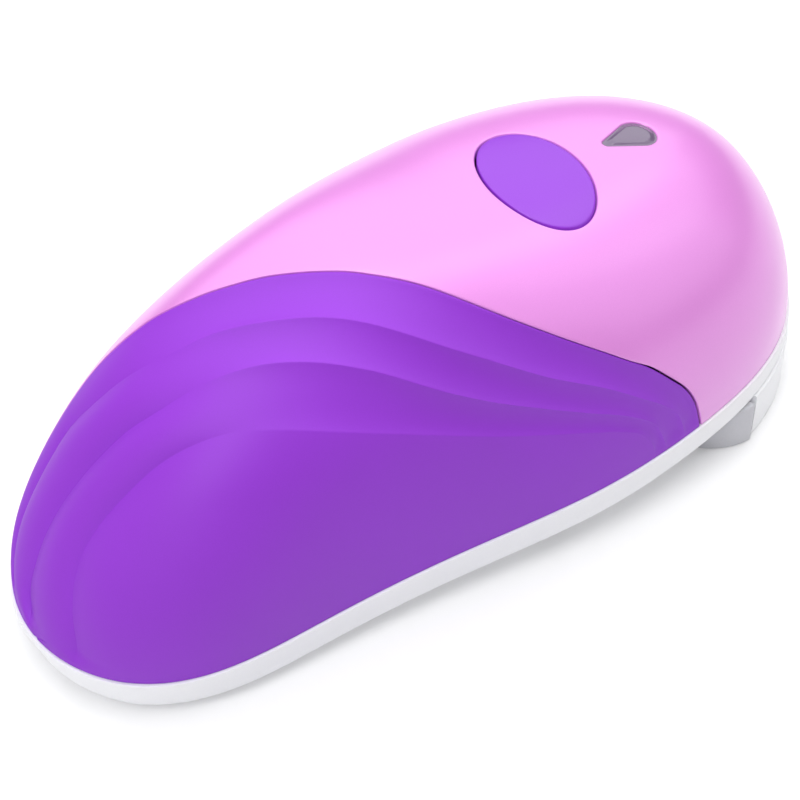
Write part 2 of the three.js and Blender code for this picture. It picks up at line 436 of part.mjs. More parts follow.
// Gearbox plate: ties the posts, the upper bearings and the board's stand-offs together.
const BOARD_Z = 24, BOARD_POSTS = [[30, -9.5], [58, -8], [30, 9.5], [58, 8]];
let plate = prism([...circle(2.2, -21.5, 4.3, 4, Math.PI, 1.5 * Math.PI), ...circle(47.5, -25, 4.3, 5, 1.5 * Math.PI, 1.95 * Math.PI), ...circle(60, 0, 8, 8, -0.9, 0.9), ...circle(47.5, 25, 4.3, 5, 0.05 * Math.PI, 0.5 * Math.PI), ...circle(2.2, 21.5, 4.3, 4, 0.5 * Math.PI, Math.PI)], 9.6, 11.6);
plate = join(plate, ...BOARD_POSTS.map(([x, y]) => cyl(x, y, 2.4, 11.5, BOARD_Z - 0.3, 8)));
plate = cut(plate, cyl(px, py, 12.4, 5, 20, 26), cyl(8, 28.6, 4.2, 5, 20, 14), cyl(8, -28.6, 4.2, 5, 20, 14), cyl(...DRIVE, 3.9, 5, 20, 20), cyl(...IDLER, 1.8, 5, 20, 16), ...PLATE_POSTS.map(([x, y]) => cyl(x, y, 1.8, 5, 20, 10)));
piece("gearbox_plate", plate, "dark");

// Electronics.
piece("circuit_board", cut(prism(roundBox(24, 61.5, -12, 12, 2, 3), BOARD_Z, BOARD_Z + 1.6), ...BOARD_POSTS.map(([x, y]) => cyl(x, y, 1.1, 20, 30, 10))), "board");
piece("start_switch", join(box(BUTTON.x - 3, BUTTON.x + 3, -3, 3, BOARD_Z + 1.9, BOARD_Z + 5.4), cyl(BUTTON.x, 0, 1.75, BOARD_Z + 5.3, BOARD_Z + 6.5, 14)), "black");
piece("indicator_led", turned(LENS.x, LENS.y, [[0, BOARD_Z + 1.9], [2.9, BOARD_Z + 1.9], [2.9, BOARD_Z + 2.9], [2.5, BOARD_Z + 2.9], [2.5, BOARD_Z + 7.2], [1.9, BOARD_Z + 9.0], [0, BOARD_Z + 9.7]], 16), "led");
piece("motor_driver_chip", box(40, 46, -4.5, 4.5, BOARD_Z + 1.9, BOARD_Z + 3.6), "black");

// Thumb button: a domed oval cap on a stem, kept in by a flange under the shell.
const capTop = (x, y, t) => skinZ(x, y, 0) + BUTTON.rise - 0.55 * Math.pow(t, 8);
let button = plateOver(ellipse(BUTTON.x, BUTTON.y, BUTTON.a, BUTTON.b), [BUTTON.x, BUTTON.y], capTop, (x, y) => skinZ(x, y, SHELL_INNER) - 2.1, 3);
button = join(button, plateOver(ellipse(BUTTON.x, BUTTON.y, BUTTON.a + 1.6, BUTTON.b + 1.6), [BUTTON.x, BUTTON.y], (x, y) => skinZ(x, y, SHELL_INNER) - 1.1, (x, y) => skinZ(x, y, SHELL_INNER) - 2.3, 2));
button = join(button, cyl(BUTTON.x, 0, 2.3, BOARD_Z + 7.8, 38.6, 16));
piece("power_button", button, "button");
piece("button_spring", wire(new Coil([BUTTON.x, 0, BOARD_Z + 2.3], "z", 5.3, 3.6, 9.4, 4), 0.3, 36, 5), "steel");

// Indicator lens: a teardrop window set just below the shell's skin, with a raised middle.
piece("indicator_lens", plateOver(teardrop(0), [LENS.x - 0.8, LENS.y], (x, y, t) => skinZ(x, y, 0) - 0.15 - 0.7 * Math.pow(t, 5), (x, y) => skinZ(x, y, SHELL_INNER) - 0.2, 3), "lens");

// Cutter arm, swinging on a pin through the base; the crank inside works the limit switch.
let arm = join(prism(link(ARM_PIVOT, 7, CUTTER, 5.6), -12.7, -9.9), cyl(...ARM_PIVOT, 5, -15.9, -12.6, 20));
arm = cut(arm, cyl(...ARM_PIVOT, 2.7, -18, -5, 14), cyl(...CUTTER, 1.75, -18, -5, 12));
piece("cutter_arm", arm, "zinc");
piece("arm_pivot_pin", turned(...ARM_PIVOT, [[0, -16.7], [3.8, -16.7], [3.8, -16.2], [2.45, -16.2], [2.45, -5.9], [1.9, -5.9], [1.9, -2.6], [0, -2.6]], 14), "steel");
const CRANK_END = [ARM_PIVOT[0] + 9 * Math.cos(0.87), ARM_PIVOT[1] + 9 * Math.sin(0.87)];
piece("arm_crank", cut(prism(link(ARM_PIVOT, 4.2, CRANK_END, 2.1), -5.6, -3.2), cyl(...ARM_PIVOT, 2.2, -9, 0, 14)), "zinc");
piece("cutting_wheel", cut(turned(...CUTTER, [[0, -15.1], [4.6, -15.1], [CUTTER_R, -14.1], [CUTTER_R, -13.95], [5.2, -13.1], [0, -13.1]], 24), cyl(...CUTTER, 2.35, -18, -9, 14)), "steel");
piece("cutter_screw", turned(...CUTTER, [[0, -16.5], [3.0, -16.5], [3.5, -16.0], [3.5, -15.4], [2.2, -15.4], [2.2, -13.0], [1.45, -13.0], [1.45, -10.2], [0, -10.2]], 14), "steel");
piece("limit_switch", join(box(66.2, 71.8, -10, 3, -6.4, -0.4), box(64.9, 66.4, -8.5, -7.3, -4.6, -2.2)), "black");

// Grey guard that covers the open side of the cutter arm.
const GUARD_C = [56, -22], GUARD_R = 14.25;
// its outer wall reaches up round the lower corner of the base
const underBase = loft(baseStations.map((x) => baseRing(x, -BASE_PROUD - 0.1, Math.max(endDepth(x, BASE_DEPTH), wallDrop(x) + 0.4) + 0.12)));
let guard = prism([...circle(...GUARD_C, GUARD_R, 12, (212 * Math.PI) / 180, (269 * Math.PI) / 180), [54.9, -31.9], [57.4, -30.3], [56.0, -29.0], [52.6, -28.9], [49.2, -27.2], [46.6, -24.6]], -17.6, -6.6);
guard = cut(guard, below(0.3), underBase);
guard = cut(guard, cyl(...GUARD_SCREWS[0], 1.5, -20, -5, 12), cyl(...GUARD_SCREWS[0], 2.6, -20, -12.6, 14));
piece("cutter_guard", guard, "grey");

// Floating magnet that lifts the cut lid.
piece("magnet_holder", cut(join(turned(...MAGNET, [[0, -13.0], [7.3, -13.0], [7.9, -12.4], [7.9, -11.4], [0, -11.4]], 20), cyl(...MAGNET, 2.2, -11.5, -3.9, 14)), cyl(...MAGNET, 6.3, -14, -12.0, 20), cyl(...MAGNET, 3.2, -5.95, -4.85, 14).subtract(cyl(...MAGNET, 1.75, -7, -3, 14))), "white");
piece("lid_magnet", turned(...MAGNET, [[0, -14.6], [5.7, -14.6], [6.0, -14.3], [6.0, -12.3], [0, -12.3]], 18), "steel");
piece("magnet_clip", cut(cyl(...MAGNET, 4.2, -5.75, -5.05, 14), cyl(...MAGNET, 2.0, -7, -3, 14)), "steel");

// Screws.
const screw = (name, x, y, headZ, up, length, r = 1.35, head = 2.6) => {
  const s = up ? 1 : -1, p = [[0, 0], [head * 0.7, 0], [head, 0.5], [head, 1.3], [r, 1.3], [r, length - 1.2], [0, length]].map(([a, z]) => [a, headZ + s * z]);
  piece(name, turned(x, y, up ? p : p.reverse(), 10), "steel");
};
SHELL_POSTS.forEach(([x, y], i) => screw(["housing_screw_front", "housing_screw_tail", "housing_screw_left", "housing_screw_right"][i], x, y, -BASE_DEPTH + 1.4, true, 15));
PLATE_POSTS.forEach(([x, y], i) => screw("plate_screw_" + (i + 1), x, y, 13.2, false, 13, 1.2));
screw("guard_screw", ...GUARD_SCREWS[0], -14.4, true, 11, 1.2, 2.2);

// Leads from the board to the motor and the cells.
const path = (...pts) => new THREE.CatmullRomCurve3(pts.map((p) => new THREE.Vector3(...p)));
piece("motor_lead_red", wire(path([26.5, 6, 26.1], [25, 6.6, 29], [21.5, 5, 34], [18.6, 1.6, 35.4]), 0.6, 7, 5), "red");
piece("motor_lead_black", wire(path([26.5, -6, 26.1], [25, -8, 30], [17, -10.6, 36.4], [6, -8, 37.4], [2.6, -2.4, 35.6]), 0.6, 11, 5), "black");
piece("battery_lead", wire(path([-2.4, 12, 18], [-1.6, 14.6, 21], [8, 16.6, 26], [20, 14.6, 27.5], [25.6, 10.6, 26.3]), 0.6, 11, 5), "red");

const group = new THREE.Group();
const beta = Math.atan(GROUND_SLOPE);
body.rotation.y = -beta;
body.position.set(ROW_SHIFT_X, 0, -GROUND_Z0 * Math.cos(beta));
group.add(body);
export default group;
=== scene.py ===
import json
import math

import bmesh
import bpy
import numpy as np
from mathutils import Matrix, Vector
from mathutils.geometry import delaunay_2d_cdt


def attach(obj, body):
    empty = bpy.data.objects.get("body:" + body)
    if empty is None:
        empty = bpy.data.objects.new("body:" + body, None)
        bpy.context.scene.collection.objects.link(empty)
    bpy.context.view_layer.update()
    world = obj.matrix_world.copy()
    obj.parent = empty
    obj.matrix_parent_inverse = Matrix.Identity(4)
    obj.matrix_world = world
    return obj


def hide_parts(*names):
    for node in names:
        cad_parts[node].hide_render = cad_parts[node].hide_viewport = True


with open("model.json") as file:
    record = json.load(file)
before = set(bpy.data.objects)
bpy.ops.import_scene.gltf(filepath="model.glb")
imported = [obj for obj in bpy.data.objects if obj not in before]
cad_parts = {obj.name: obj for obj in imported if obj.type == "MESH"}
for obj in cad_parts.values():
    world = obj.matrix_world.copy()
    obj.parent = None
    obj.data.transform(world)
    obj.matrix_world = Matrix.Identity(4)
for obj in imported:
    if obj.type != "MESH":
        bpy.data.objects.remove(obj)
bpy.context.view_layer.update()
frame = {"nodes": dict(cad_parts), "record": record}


# ------------------------------------------------------------------------------------------
# The housing's form, in its own level frame: millimetres, parting plane z = 0, head to +X.
# The same tables and formulas as the CAD part.
# ------------------------------------------------------------------------------------------
HALF = 84.0
SLOPE = 0.068
BETA = math.atan(SLOPE)
CB, SB = math.cos(BETA), math.sin(BETA)
GROUND_Z0 = -13.496
WIDTHS = [0, 3.657, 7.28, 10.813, 14.175, 17.265, 19.998, 22.328, 24.236, 25.725, 26.827, 27.617, 28.194, 28.68, 29.205, 29.842, 30.618, 31.547, 32.628, 33.825, 35.035, 36.141, 37.024, 37.579, 37.804, 37.744, 37.44, 36.926, 36.193, 35.181, 33.833, 32.104, 29.969, 27.442, 24.547, 21.302, 17.719, 13.776, 9.459, 4.825, 0]
HEIGHTS = [0, 1.791, 4.132, 7.2, 10.775, 14.503, 18.29, 22.183, 26.32, 30.639, 34.881, 38.708, 41.824, 44.235, 46.059, 47.463, 48.514, 49.131, 49.225, 48.733, 47.776, 46.562, 45.299, 44.134, 43.093, 42.171, 41.346, 40.553, 39.696, 38.678, 37.406, 35.795, 33.773, 31.282, 28.3, 24.844, 20.919, 16.504, 11.512, 5.945, 0]
GRIP_EDGE = [(-81.5, 180), (-78, 161.9), (-72, 148.6), (-64, 139.2), (-55.5, 132.5), (-51.7, 128.45), (-48.2, 124.7), (-44.8, 121.3), (-41.7, 117.5), (-38.65, 113.95), (-35.6, 110.55), (-32.6, 107.1), (-29.6, 103.8), (-26.7, 100.3), (-24, 96.6), (-21.25, 92.7), (-18.6, 88.75), (-16.05, 84.8), (-13.7, 80.75), (-11.2, 76.75), (-8.7, 72.95), (-6.3, 69.1), (-3.9, 65.25), (-1.4, 61.4), (2.9, 55.5), (10.45, 46.8), (19.5, 37.4), (23.1, 33.55), (27.1, 29.4), (31.1, 23.6), (35.6, 15.7), (37.5, 9.9), (38.55, 4.6)]
GRIP_CORNER = (39.3, 0)
RIPPLES = [
    [(-83.9, 179), (-82.6, 176), (-79.6, 160), (-76, 148.5), (-72, 138.5), (-67.5, 131.3), (-64.1, 126.7), (-60, 116.6), (-54.4, 106.4), (-47.7, 97), (-40.5, 92), (-31.9, 86.3), (-25.7, 79), (-19.8, 70.2), (-16.5, 64.7), (-9.2, 53.7), (-2.4, 45.7), (4.9, 38), (17.5, 27), (24.4, 19.5), (30.8, 11.7), (32.3, 9), (34.6, 1.5), (35.1, 0)],
    [(-83.95, 170), (-83.3, 121.8), (-82, 119.4), (-79.6, 112.7), (-76.1, 108.7), (-71.1, 103.9), (-65.1, 98), (-59.9, 93.6), (-55.2, 90.3), (-45.5, 84.3), (-38.6, 77.9), (-32.3, 70.1), (-24.1, 58.4), (-12.5, 42.5), (-5, 35.4), (3.1, 29.5), (11.8, 23.4), (21.4, 16.1), (26.5, 10.3), (29.2, 3), (30.2, 0)],
    [(-82.2, 0), (-81.8, 34.1), (-79.6, 71.7), (-77.2, 81.6), (-73, 85.6), (-70.1, 85.2), (-65.5, 83.1), (-60.1, 79.7), (-53.1, 72.7), (-48.6, 67.5), (-42.4, 58.9), (-33.3, 47.7), (-14.8, 31.8), (-6.6, 26.7), (2.1, 22.4), (11.2, 17.9), (18.5, 13.6), (23.8, 8.9), (26.1, 4.4), (27.2, 0)],
]
FLUTE, VALLEY, RIPPLE_RUN = 0.17, 1.25, 0.35
BUTTON = dict(x=28.75, y=0.23, a=9.72, b=13.58, turn=math.radians(-10.8), gap=0.34)
LENS = dict(tip=46.2, x=54.15, y=0.25, r=3.45, grow=0.22)


def row(p):
    p = np.asarray(p, float)
    x, y, z = p[..., 0], p[..., 1], p[..., 2]
    return np.stack([x * CB - z * SB - 0.927, y, x * SB + z * CB - GROUND_Z0 * CB], -1) / 1000.0


def sample(table, u):
    t = np.array(table, float)
    n = len(t) - 1
    f = np.clip(np.asarray(u, float) / math.pi * n, 0, n)
    i = np.minimum(np.floor(f).astype(int), n - 1)
    q = f - i

    def at(k):
        return np.where(k < 0, -t[np.abs(k) % (n + 1)], np.where(k > n, -t[np.clip(2 * n - k, 0, n)], t[np.clip(k, 0, n)]))

    a, b, c, d = at(i - 1), at(i), at(i + 1), at(i + 2)
    return b + 0.5 * q * (c - a + q * (2 * a - 5 * b + 4 * c - d + q * (3 * (b - c) + d - a)))


def u_of(x):
    return np.arccos(np.clip(-np.asarray(x, float) / HALF, -1, 1))


def width(x):
    return np.maximum(sample(WIDTHS, u_of(x)), 0) * 0.9975


def crown(x):
    return np.maximum(sample(HEIGHTS, u_of(x)), 0) * 0.9995


def smooth(t):
    c = np.clip(t, 0, 1)
    return c * c * (3 - 2 * c)


def exp_near(x):
    return 2.3 - 0.42 * smooth((x - 20) / 64)


def exp_far(x):
    return 2.34 + 0.72 * smooth((x + 84) / 56) - 1.2 * smooth((x - 20) / 64)


def section(x, psi):
    """Point of the section at the angle psi, seen from its middle: 0 at the near edge, half a turn at the far one."""
    c, s = np.cos(psi), np.maximum(np.sin(psi), 0)
    n = np.where(c >= 0, exp_near(x), exp_far(x))
    rho = (np.abs(c) ** n + s ** n) ** (-1 / n)
    return -width(x) * c * rho, crown(x) * s * rho


def skin_z(x, y, depth=0.0):
    xs, ys = np.asarray(x, float) / (1 - depth / HALF), np.asarray(y, float) / (1 - depth / 36)
    n = np.where(ys < 0, exp_near(xs), exp_far(xs))
    q = 1 - np.minimum(np.abs(ys) / np.maximum(width(xs), 1e-6), 1) ** n
    return crown(xs) * q ** (1 / n) * (1 - depth / 44)


# chart of the skin: a runs along the length, b round the section, both about in millimetres
RB = 38.0


def chart(ab):
    ab = np.asarray(ab, float)
    x = -HALF * np.cos(ab[..., 0] / HALF)
    y, z = section(x, np.clip(ab[..., 1] / RB, 0, math.pi))
    return np.stack([x, y, z], -1)


def to_ab(x, psi):
    return np.stack([u_of(x) * HALF, np.asarray(psi, float) * RB], -1)


def from_parameter(points):
    """Chart points from (x, superellipse parameter in degrees)."""
    p = np.array(points, float)
    x, phi = p[:, 0], np.radians(p[:, 1])
    c, s = np.cos(phi), np.maximum(np.sin(phi), 0)
    e = 2 / np.where(c >= 0, exp_near(x), exp_far(x))
    return to_ab(x, np.arctan2(s ** e, np.sign(c) * np.abs(c) ** e))


def plan_to_ab(xy):
    xy = np.asarray(xy, float)
    x, y = xy[..., 0], xy[..., 1]
    n = np.where(y < 0, exp_near(x), exp_far(x))
    q = np.minimum(np.abs(y) / width(x), 1)
    return to_ab(x, np.arctan2((1 - q ** n) ** (1 / n), -np.sign(y) * q))


def jacobian(ab):
    e = 0.03
    da, db = np.array([e, 0]), np.array([0, e])
    pa = (chart(ab + da) - chart(ab - da)) / (2 * e)
    pb = (chart(ab + db) - chart(ab - db)) / (2 * e)
    return pa, pb


def normals(ab):
    pa, pb = jacobian(ab)
    n = np.cross(pa, pb)
    length = np.linalg.norm(n, axis=-1, keepdims=True)
    n = n / np.maximum(length, 1e-12)
    x = -HALF * np.cos(ab[..., 0] / HALF)
    pole = (np.abs(x) > 83.97) | (length[..., 0] < 1e-7)
    n[pole] = np.stack([np.sign(x[pole]), np.zeros(pole.sum()), np.zeros(pole.sum())], -1)
    return n


def offset(ab, d):
    """A curve of the chart moved sideways on the skin by d mm: to the left of its direction."""
    p = chart(ab)
    t = np.gradient(p, axis=0)
    n = normals(ab)
    side = np.cross(n, t)
    side *= d / np.maximum(np.linalg.norm(side, axis=-1, keepdims=True), 1e-9)
    pa, pb = jacobian(ab)
    aa, bb, cc = (pa * pa).sum(-1), (pb * pb).sum(-1), (pa * pb).sum(-1)
    ra, rb = (pa * side).sum(-1), (pb * side).sum(-1)
    det = np.maximum(aa * bb - cc * cc, 1e-9)
    return ab + np.stack([(ra * bb - rb * cc) / det, (rb * aa - ra * cc) / det], -1)


def far_from(p, curve):
    """Distance from points to a polyline, in space."""
    out = np.full(len(p), 1e9)
    a, b = curve[:-1], curve[1:]
    ab = b - a
    l2 = np.maximum((ab * ab).sum(-1), 1e-12)
    for k in range(0, len(p), 3000):
        q = p[k:k + 3000, None, :]
        t = np.clip(((q - a) * ab).sum(-1) / l2, 0, 1)
        out[k:k + 3000] = np.sqrt((((a + ab * t[..., None]) - q) ** 2).sum(-1)).min(1)
    return out


def resample(p, step):
    """A polyline of the chart at even spacing on the skin."""
    q = chart(p)
    s = np.concatenate([[0], np.cumsum(np.linalg.norm(np.diff(q, axis=0), axis=-1))])
    n = max(int(round(s[-1] / step)), 2)
    return np.stack([np.interp(np.linspace(0, s[-1], n + 1), s, p[:, k]) for k in range(p.shape[1])], -1)


def hermite(points, per=14):
    """Smooth curve of the chart through points."""
    p = np.array(points, float)
    s = np.concatenate([[0], np.cumsum(np.linalg.norm(np.diff(p, axis=0), axis=-1))])
    m = np.gradient(p, s, axis=0)
    out = []
    for i in range(len(p) - 1):
        h = s[i + 1] - s[i]
        for t in np.linspace(0, 1, per, endpoint=False):
            t2, t3 = t * t, t * t * t
            out.append((2 * t3 - 3 * t2 + 1) * p[i] + (t3 - 2 * t2 + t) * h * m[i] + (3 * t2 - 2 * t3) * p[i + 1] + (t3 - t2) * h * m[i + 1])
    out.append(p[-1])
    out = np.array(out)
    out[:, 1] = np.clip(out[:, 1], 0, math.pi * RB)
    return out


def inside(points, poly):
    """Which points lie in a closed polygon."""
    x, y = points[:, 0], points[:, 1]
    hit = np.zeros(len(points), bool)
    for (x0, y0), (x1, y1) in zip(poly, np.roll(poly, -1, 0)):
        if y0 == y1:
            continue
        cross = ((y0 > y) != (y1 > y)) & (x < (x1 - x0) * (y - y0) / (y1 - y0) + x0)
        hit ^= cross
    return hit


# ------------------------------------------------------------------------------------------
# Mesh helpers
# ------------------------------------------------------------------------------------------
def new_object(name, verts, faces, level=True, angle=32.0):
    me = bpy.data.meshes.new(name)
    v = row(verts) if level else np.asarray(verts, float)
    me.from_pydata([tuple(map(float, p)) for p in v], [], [tuple(int(i) for i in f) for f in faces])
    me.update()
    ob = bpy.data.objects.new(name, me)
    bpy.context.scene.collection.objects.link(ob)
    tidy(ob, angle)
    return ob


def tidy(ob, angle=32.0, merge=1e-6):
    bm = bmesh.new()
    bm.from_mesh(ob.data)
    bmesh.ops.remove_doubles(bm, verts=bm.verts, dist=merge)
    bmesh.ops.dissolve_degenerate(bm, edges=bm.edges, dist=1e-7)
    bmesh.ops.recalc_face_normals(bm, faces=bm.faces)
    bm.to_mesh(ob.data)
    bm.free()
    ob.data.polygons.foreach_set("use_smooth", [True] * len(ob.data.polygons))
    ob.data.set_sharp_from_angle(angle=math.radians(angle))
    return ob


def apply_mods(ob):
    deps = bpy.context.evaluated_depsgraph_get()
    bpy.context.view_layer.update()
    me = bpy.data.meshes.new_from_object(ob.evaluated_get(deps))
    old = ob.data
    ob.modifiers.clear()
    ob.data = me
    me.name = ob.name
    bpy.data.meshes.remove(old)
    return ob


def rounded(ob, width_mm, segments=2, angle=30.0):
    """Rounds the edges of a solid."""
    m = ob.modifiers.new("round", "BEVEL")
    m.width = width_mm / 1000
    m.segments = segments
    m.limit_method = "ANGLE"
    m.angle_limit = math.radians(angle)
    m.use_clamp_overlap = True
    m.harden_normals = False
    apply_mods(ob)
    return tidy(ob, 40)


def boolean(ob, other, how):
    m = ob.modifiers.new("b", "BOOLEAN")
    m.operation = how
    m.object = other
    m.solver = "MANIFOLD"
    before = len(ob.data.polygons)
    apply_mods(ob)
    if not len(ob.data.polygons):
        raise RuntimeError(f"boolean {how} emptied {ob.name} from {before}")
    bpy.data.objects.remove(other)
    return ob


def place(ob, body, slot_name, material, *nodes):
    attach(ob, body)
    if nodes:
        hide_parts(*nodes)
    ob.data.materials.clear()
    ob.data.materials.append(material)
    return ob


def thick(outer, inner, tris):
    """Closed shell from an outer and an inner sheet with the same triangles."""
    n = len(outer)
    tris = np.asarray(tris)
    faces = [tuple(t) for t in tris] + [(t[0] + n, t[2] + n, t[1] + n) for t in tris]
    edge = {}
    for t in tris:
        for i in range(3):
            a, b = int(t[i]), int(t[(i + 1) % 3])
            edge[(a, b)] = edge.get((a, b), 0) + 1
    for (a, b) in edge:
        if (b, a) not in edge:
            faces.append((b, a, a + n, b + n))
    return np.concatenate([outer, inner]), faces


def fillet(s, r):
    return np.where(s < r, r - np.sqrt(np.maximum(r * r - (r - np.clip(s, 0, r)) ** 2, 0)), 0)


def patch(lines, keep, step, clear, seams):
    """Triangulates the part of the chart where keep(ab) is true. lines are curves the mesh must follow, clear(ab) says where plain grid points may lie."""
    a0, a1 = 0.0, math.pi * HALF
    rows = []
    h = step * 0.866
    for k, a in enumerate(np.arange(a0, a1 + 0.01, h)):
        b = np.arange(0, math.pi * RB + step, step) + (step / 2 if k % 2 else 0)
        rows.append(np.stack([np.full(len(b), a), b], -1))
    rows.append(np.stack([np.full(60, a1), np.linspace(0, math.pi * RB, 60)], -1))
    grid = np.concatenate(rows)
    grid = grid[(grid[:, 1] >= 0) & (grid[:, 1] <= math.pi * RB)]
    grid = grid[clear(grid)]
    pts, edges = [tuple(p) for p in grid], []
    for line, closed in lines:
        first = len(pts)
        pts += [tuple(p) for p in line]
        edges += [(first + i, first + i + 1) for i in range(len(line) - 1)]
        if closed:
            edges.append((first + len(line) - 1, first))
    pts += [(a0 - 2, -2), (a1 + 2, -2), (a1 + 2, math.pi * RB + 2), (a0 - 2, math.pi * RB + 2)]
    res = delaunay_2d_cdt([Vector(p) for p in pts], edges, [], 0, 1e-5)
    v = np.array([tuple(p) for p in res[0]])
    t = np.array([f for f in res[2] if len(f) == 3])
    c = v[t].mean(1)
    t = t[keep(c)]
    p = v[t]
    area = (p[:, 1, 0] - p[:, 0, 0]) * (p[:, 2, 1] - p[:, 0, 1]) - (p[:, 1, 1] - p[:, 0, 1]) * (p[:, 2, 0] - p[:, 0, 0])
    t = np.where(area[:, None] < 0, t[:, [0, 2, 1]], t)
    t = t[np.abs(area) > 1e-7]
    used = np.unique(t)
    remap = np.full(len(v), -1)
    remap[used] = np.arange(len(used))
    return v[used], remap[t]


def seam_line(z, far, a=None):
    """Line of constant height near the parting plane."""
    a = np.linspace(0.35, math.pi * HALF - 0.35, 330) if a is None else a
    x = -HALF * np.cos(a / HALF)
    n = exp_far(x) if far else exp_near(x)
    zz = np.minimum(z, 0.4 * crown(x) * z)
    q = np.minimum(zz / np.maximum(crown(x), 1e-6), 1)
    psi = np.arctan2(q, (1 - q ** n) ** (1 / n))
    return np.stack([a, RB * (math.pi - psi if far else psi)], -1)


SEAM_Z = 0.06
SEAM_R = 0.2
SEAM_RINGS = [SEAM_Z + d for d in (0.0, 0.05, 0.12, 0.22, 0.6, 1.3)]
low_edge, high_edge = seam_line(SEAM_Z, False), seam_line(SEAM_Z, True)


def above_seam(ab):
    return (ab[:, 1] > np.interp(ab[:, 0], low_edge[:, 0], low_edge[:, 1])) & (ab[:, 1] < np.interp(ab[:, 0], high_edge[:, 0], high_edge[:, 1]))


edge_curve = np.array(GRIP_EDGE, float)
edge_curve = hermite(to_ab(edge_curve[:, 0], np.radians(edge_curve[:, 1])))
edge_corner = to_ab(np.array([GRIP_CORNER[0], 84.0]), np.zeros(2))
edge_ab_all = np.concatenate([to_ab(np.array([-84.0, -81.6]), np.full(2, math.pi)), edge_curve, edge_corner])
edge_ab_all[:, 0] = np.maximum.accumulate(edge_ab_all[:, 0])
edge_ab_main = resample(np.concatenate([edge_curve, edge_corner[:1]]), 0.75)
edge_3d = chart(edge_ab_main)


def gap_at(ab):
    """Half the gap between the grip and the dome: a hair's breadth, open at the front end."""
    x = -HALF * np.cos(ab[:, 0] / HALF)
    return 0.03 + 0.13 * smooth((x - 24.5) / 4.0)


def edge_b(a):
    return np.interp(a, edge_ab_all[:, 0], edge_ab_all[:, 1])


def edge_side(d):
    """The edge curve moved by d mm towards the dome (positive) or into the grip (negative)."""
    return offset(edge_ab_main, d)


def oval(grow):
    t = np.linspace(0, 2 * math.pi, 97)[:-1]
    a, b = BUTTON["a"] + grow, BUTTON["b"] + grow
    x, y = a * np.cos(t), b * np.sin(t)
    c, s = math.cos(BUTTON["turn"]), math.sin(BUTTON["turn"])
    return np.stack([BUTTON["x"] + x * c - y * s, BUTTON["y"] + x * s + y * c], -1)


def drop(grow, n=40):
    """Teardrop outline: round end to the head, blunt tip to the button."""
    r, d = LENS["r"], LENS["x"] - LENS["tip"]
    tip_r = 0.75
    d -= tip_r
    half = math.acos((r - tip_r) / d)
    pts = []
    for q in np.linspace(-(math.pi - half), math.pi - half, n):
        pts.append((LENS["x"] + (r + grow) * math.cos(q), LENS["y"] + (r + grow) * math.sin(q)))
    cx = LENS["x"] - d
    for q in np.linspace(math.pi - half, math.pi + half, 10):
        pts.append((cx + (tip_r + grow) * math.cos(q), LENS["y"] + (tip_r + grow) * math.sin(q)))
    p = np.array(pts)
    # the sides of the drop are a little hollow on one side and full on the other
    t = np.clip((LENS["x"] - p[:, 0]) / d, 0, 1)
    p[:, 1] += 0.55 * t * t + 0.25 * np.sin(math.pi * t) * 0
    return p


hole_button = plan_to_ab(oval(BUTTON["gap"]))
hole_lens = plan_to_ab(drop(LENS["grow"]))


def close(p):
    return np.concatenate([p, p[:1]])


# ------------------------------------------------------------------------------------------
# Dome
# ------------------------------------------------------------------------------------------
def build_dome():
    r_hole, r_lens, r_edge = 0.3, 0.4, 0.16
    lines = []
    for d in (0.0, 0.06, 0.16, 0.3, 0.7):
        lines.append((plan_to_ab(oval(BUTTON["gap"] + d)), True))
    for d in (0.0, 0.08, 0.2, 0.4, 0.9):
        lines.append((plan_to_ab(drop(LENS["grow"] + d)), True))
    hb, hl = chart(close(hole_button)), chart(close(hole_lens))
    g = gap_at(edge_ab_main)
    rims = [offset(edge_ab_main, 1.0)]
    step = rims[0] - edge_ab_main
    for d in (0.0, 0.05, 0.1, 0.18, 0.6):
        lines.append((edge_ab_main + step * (g + d)[:, None], False))
    boundary = edge_ab_main + step * g[:, None]
    b3 = chart(boundary)
    for z in SEAM_RINGS:
        lines.append((seam_line(z, True), False))
        s = seam_line(z, False)
        lines.append((s[s[:, 0] > edge_ab_main[-1, 0] - 2], False))
    order = np.argsort(boundary[:, 0])

    def keep(c):
        edge = np.interp(c[:, 0], boundary[order, 0], boundary[order, 1], left=1e9, right=-1e9)
        return above_seam(c) & (c[:, 1] > edge) & ~inside(c, hole_button) & ~inside(c, hole_lens)

    def clear(c):
        p = chart(c)
        ok = (far_from(p, hb) > 1.35) & (far_from(p, hl) > 1.7) & (far_from(p, b3) > 1.2) & (p[:, 2] > 1.9)
        return ok & keep(c)

    v, t = patch(lines, keep, 1.5, clear, None)
    p, n = chart(v), normals(v)
    d = np.maximum.reduce([fillet(far_from(p, hb), r_hole), fillet(far_from(p, hl), r_lens), fillet(far_from(p, b3), r_edge), fillet(np.maximum(p[:, 2] - SEAM_Z, 0), SEAM_R)])
    depth_in = np.full(len(v), 1.9)
    outer = p - n * d[:, None]
    inner = p - n * depth_in[:, None]
    inner[:, 2] = np.maximum(inner[:, 2], SEAM_Z)
    verts, faces = thick(outer, inner, t)
    return new_object("pearl_dome", verts, faces, angle=50)


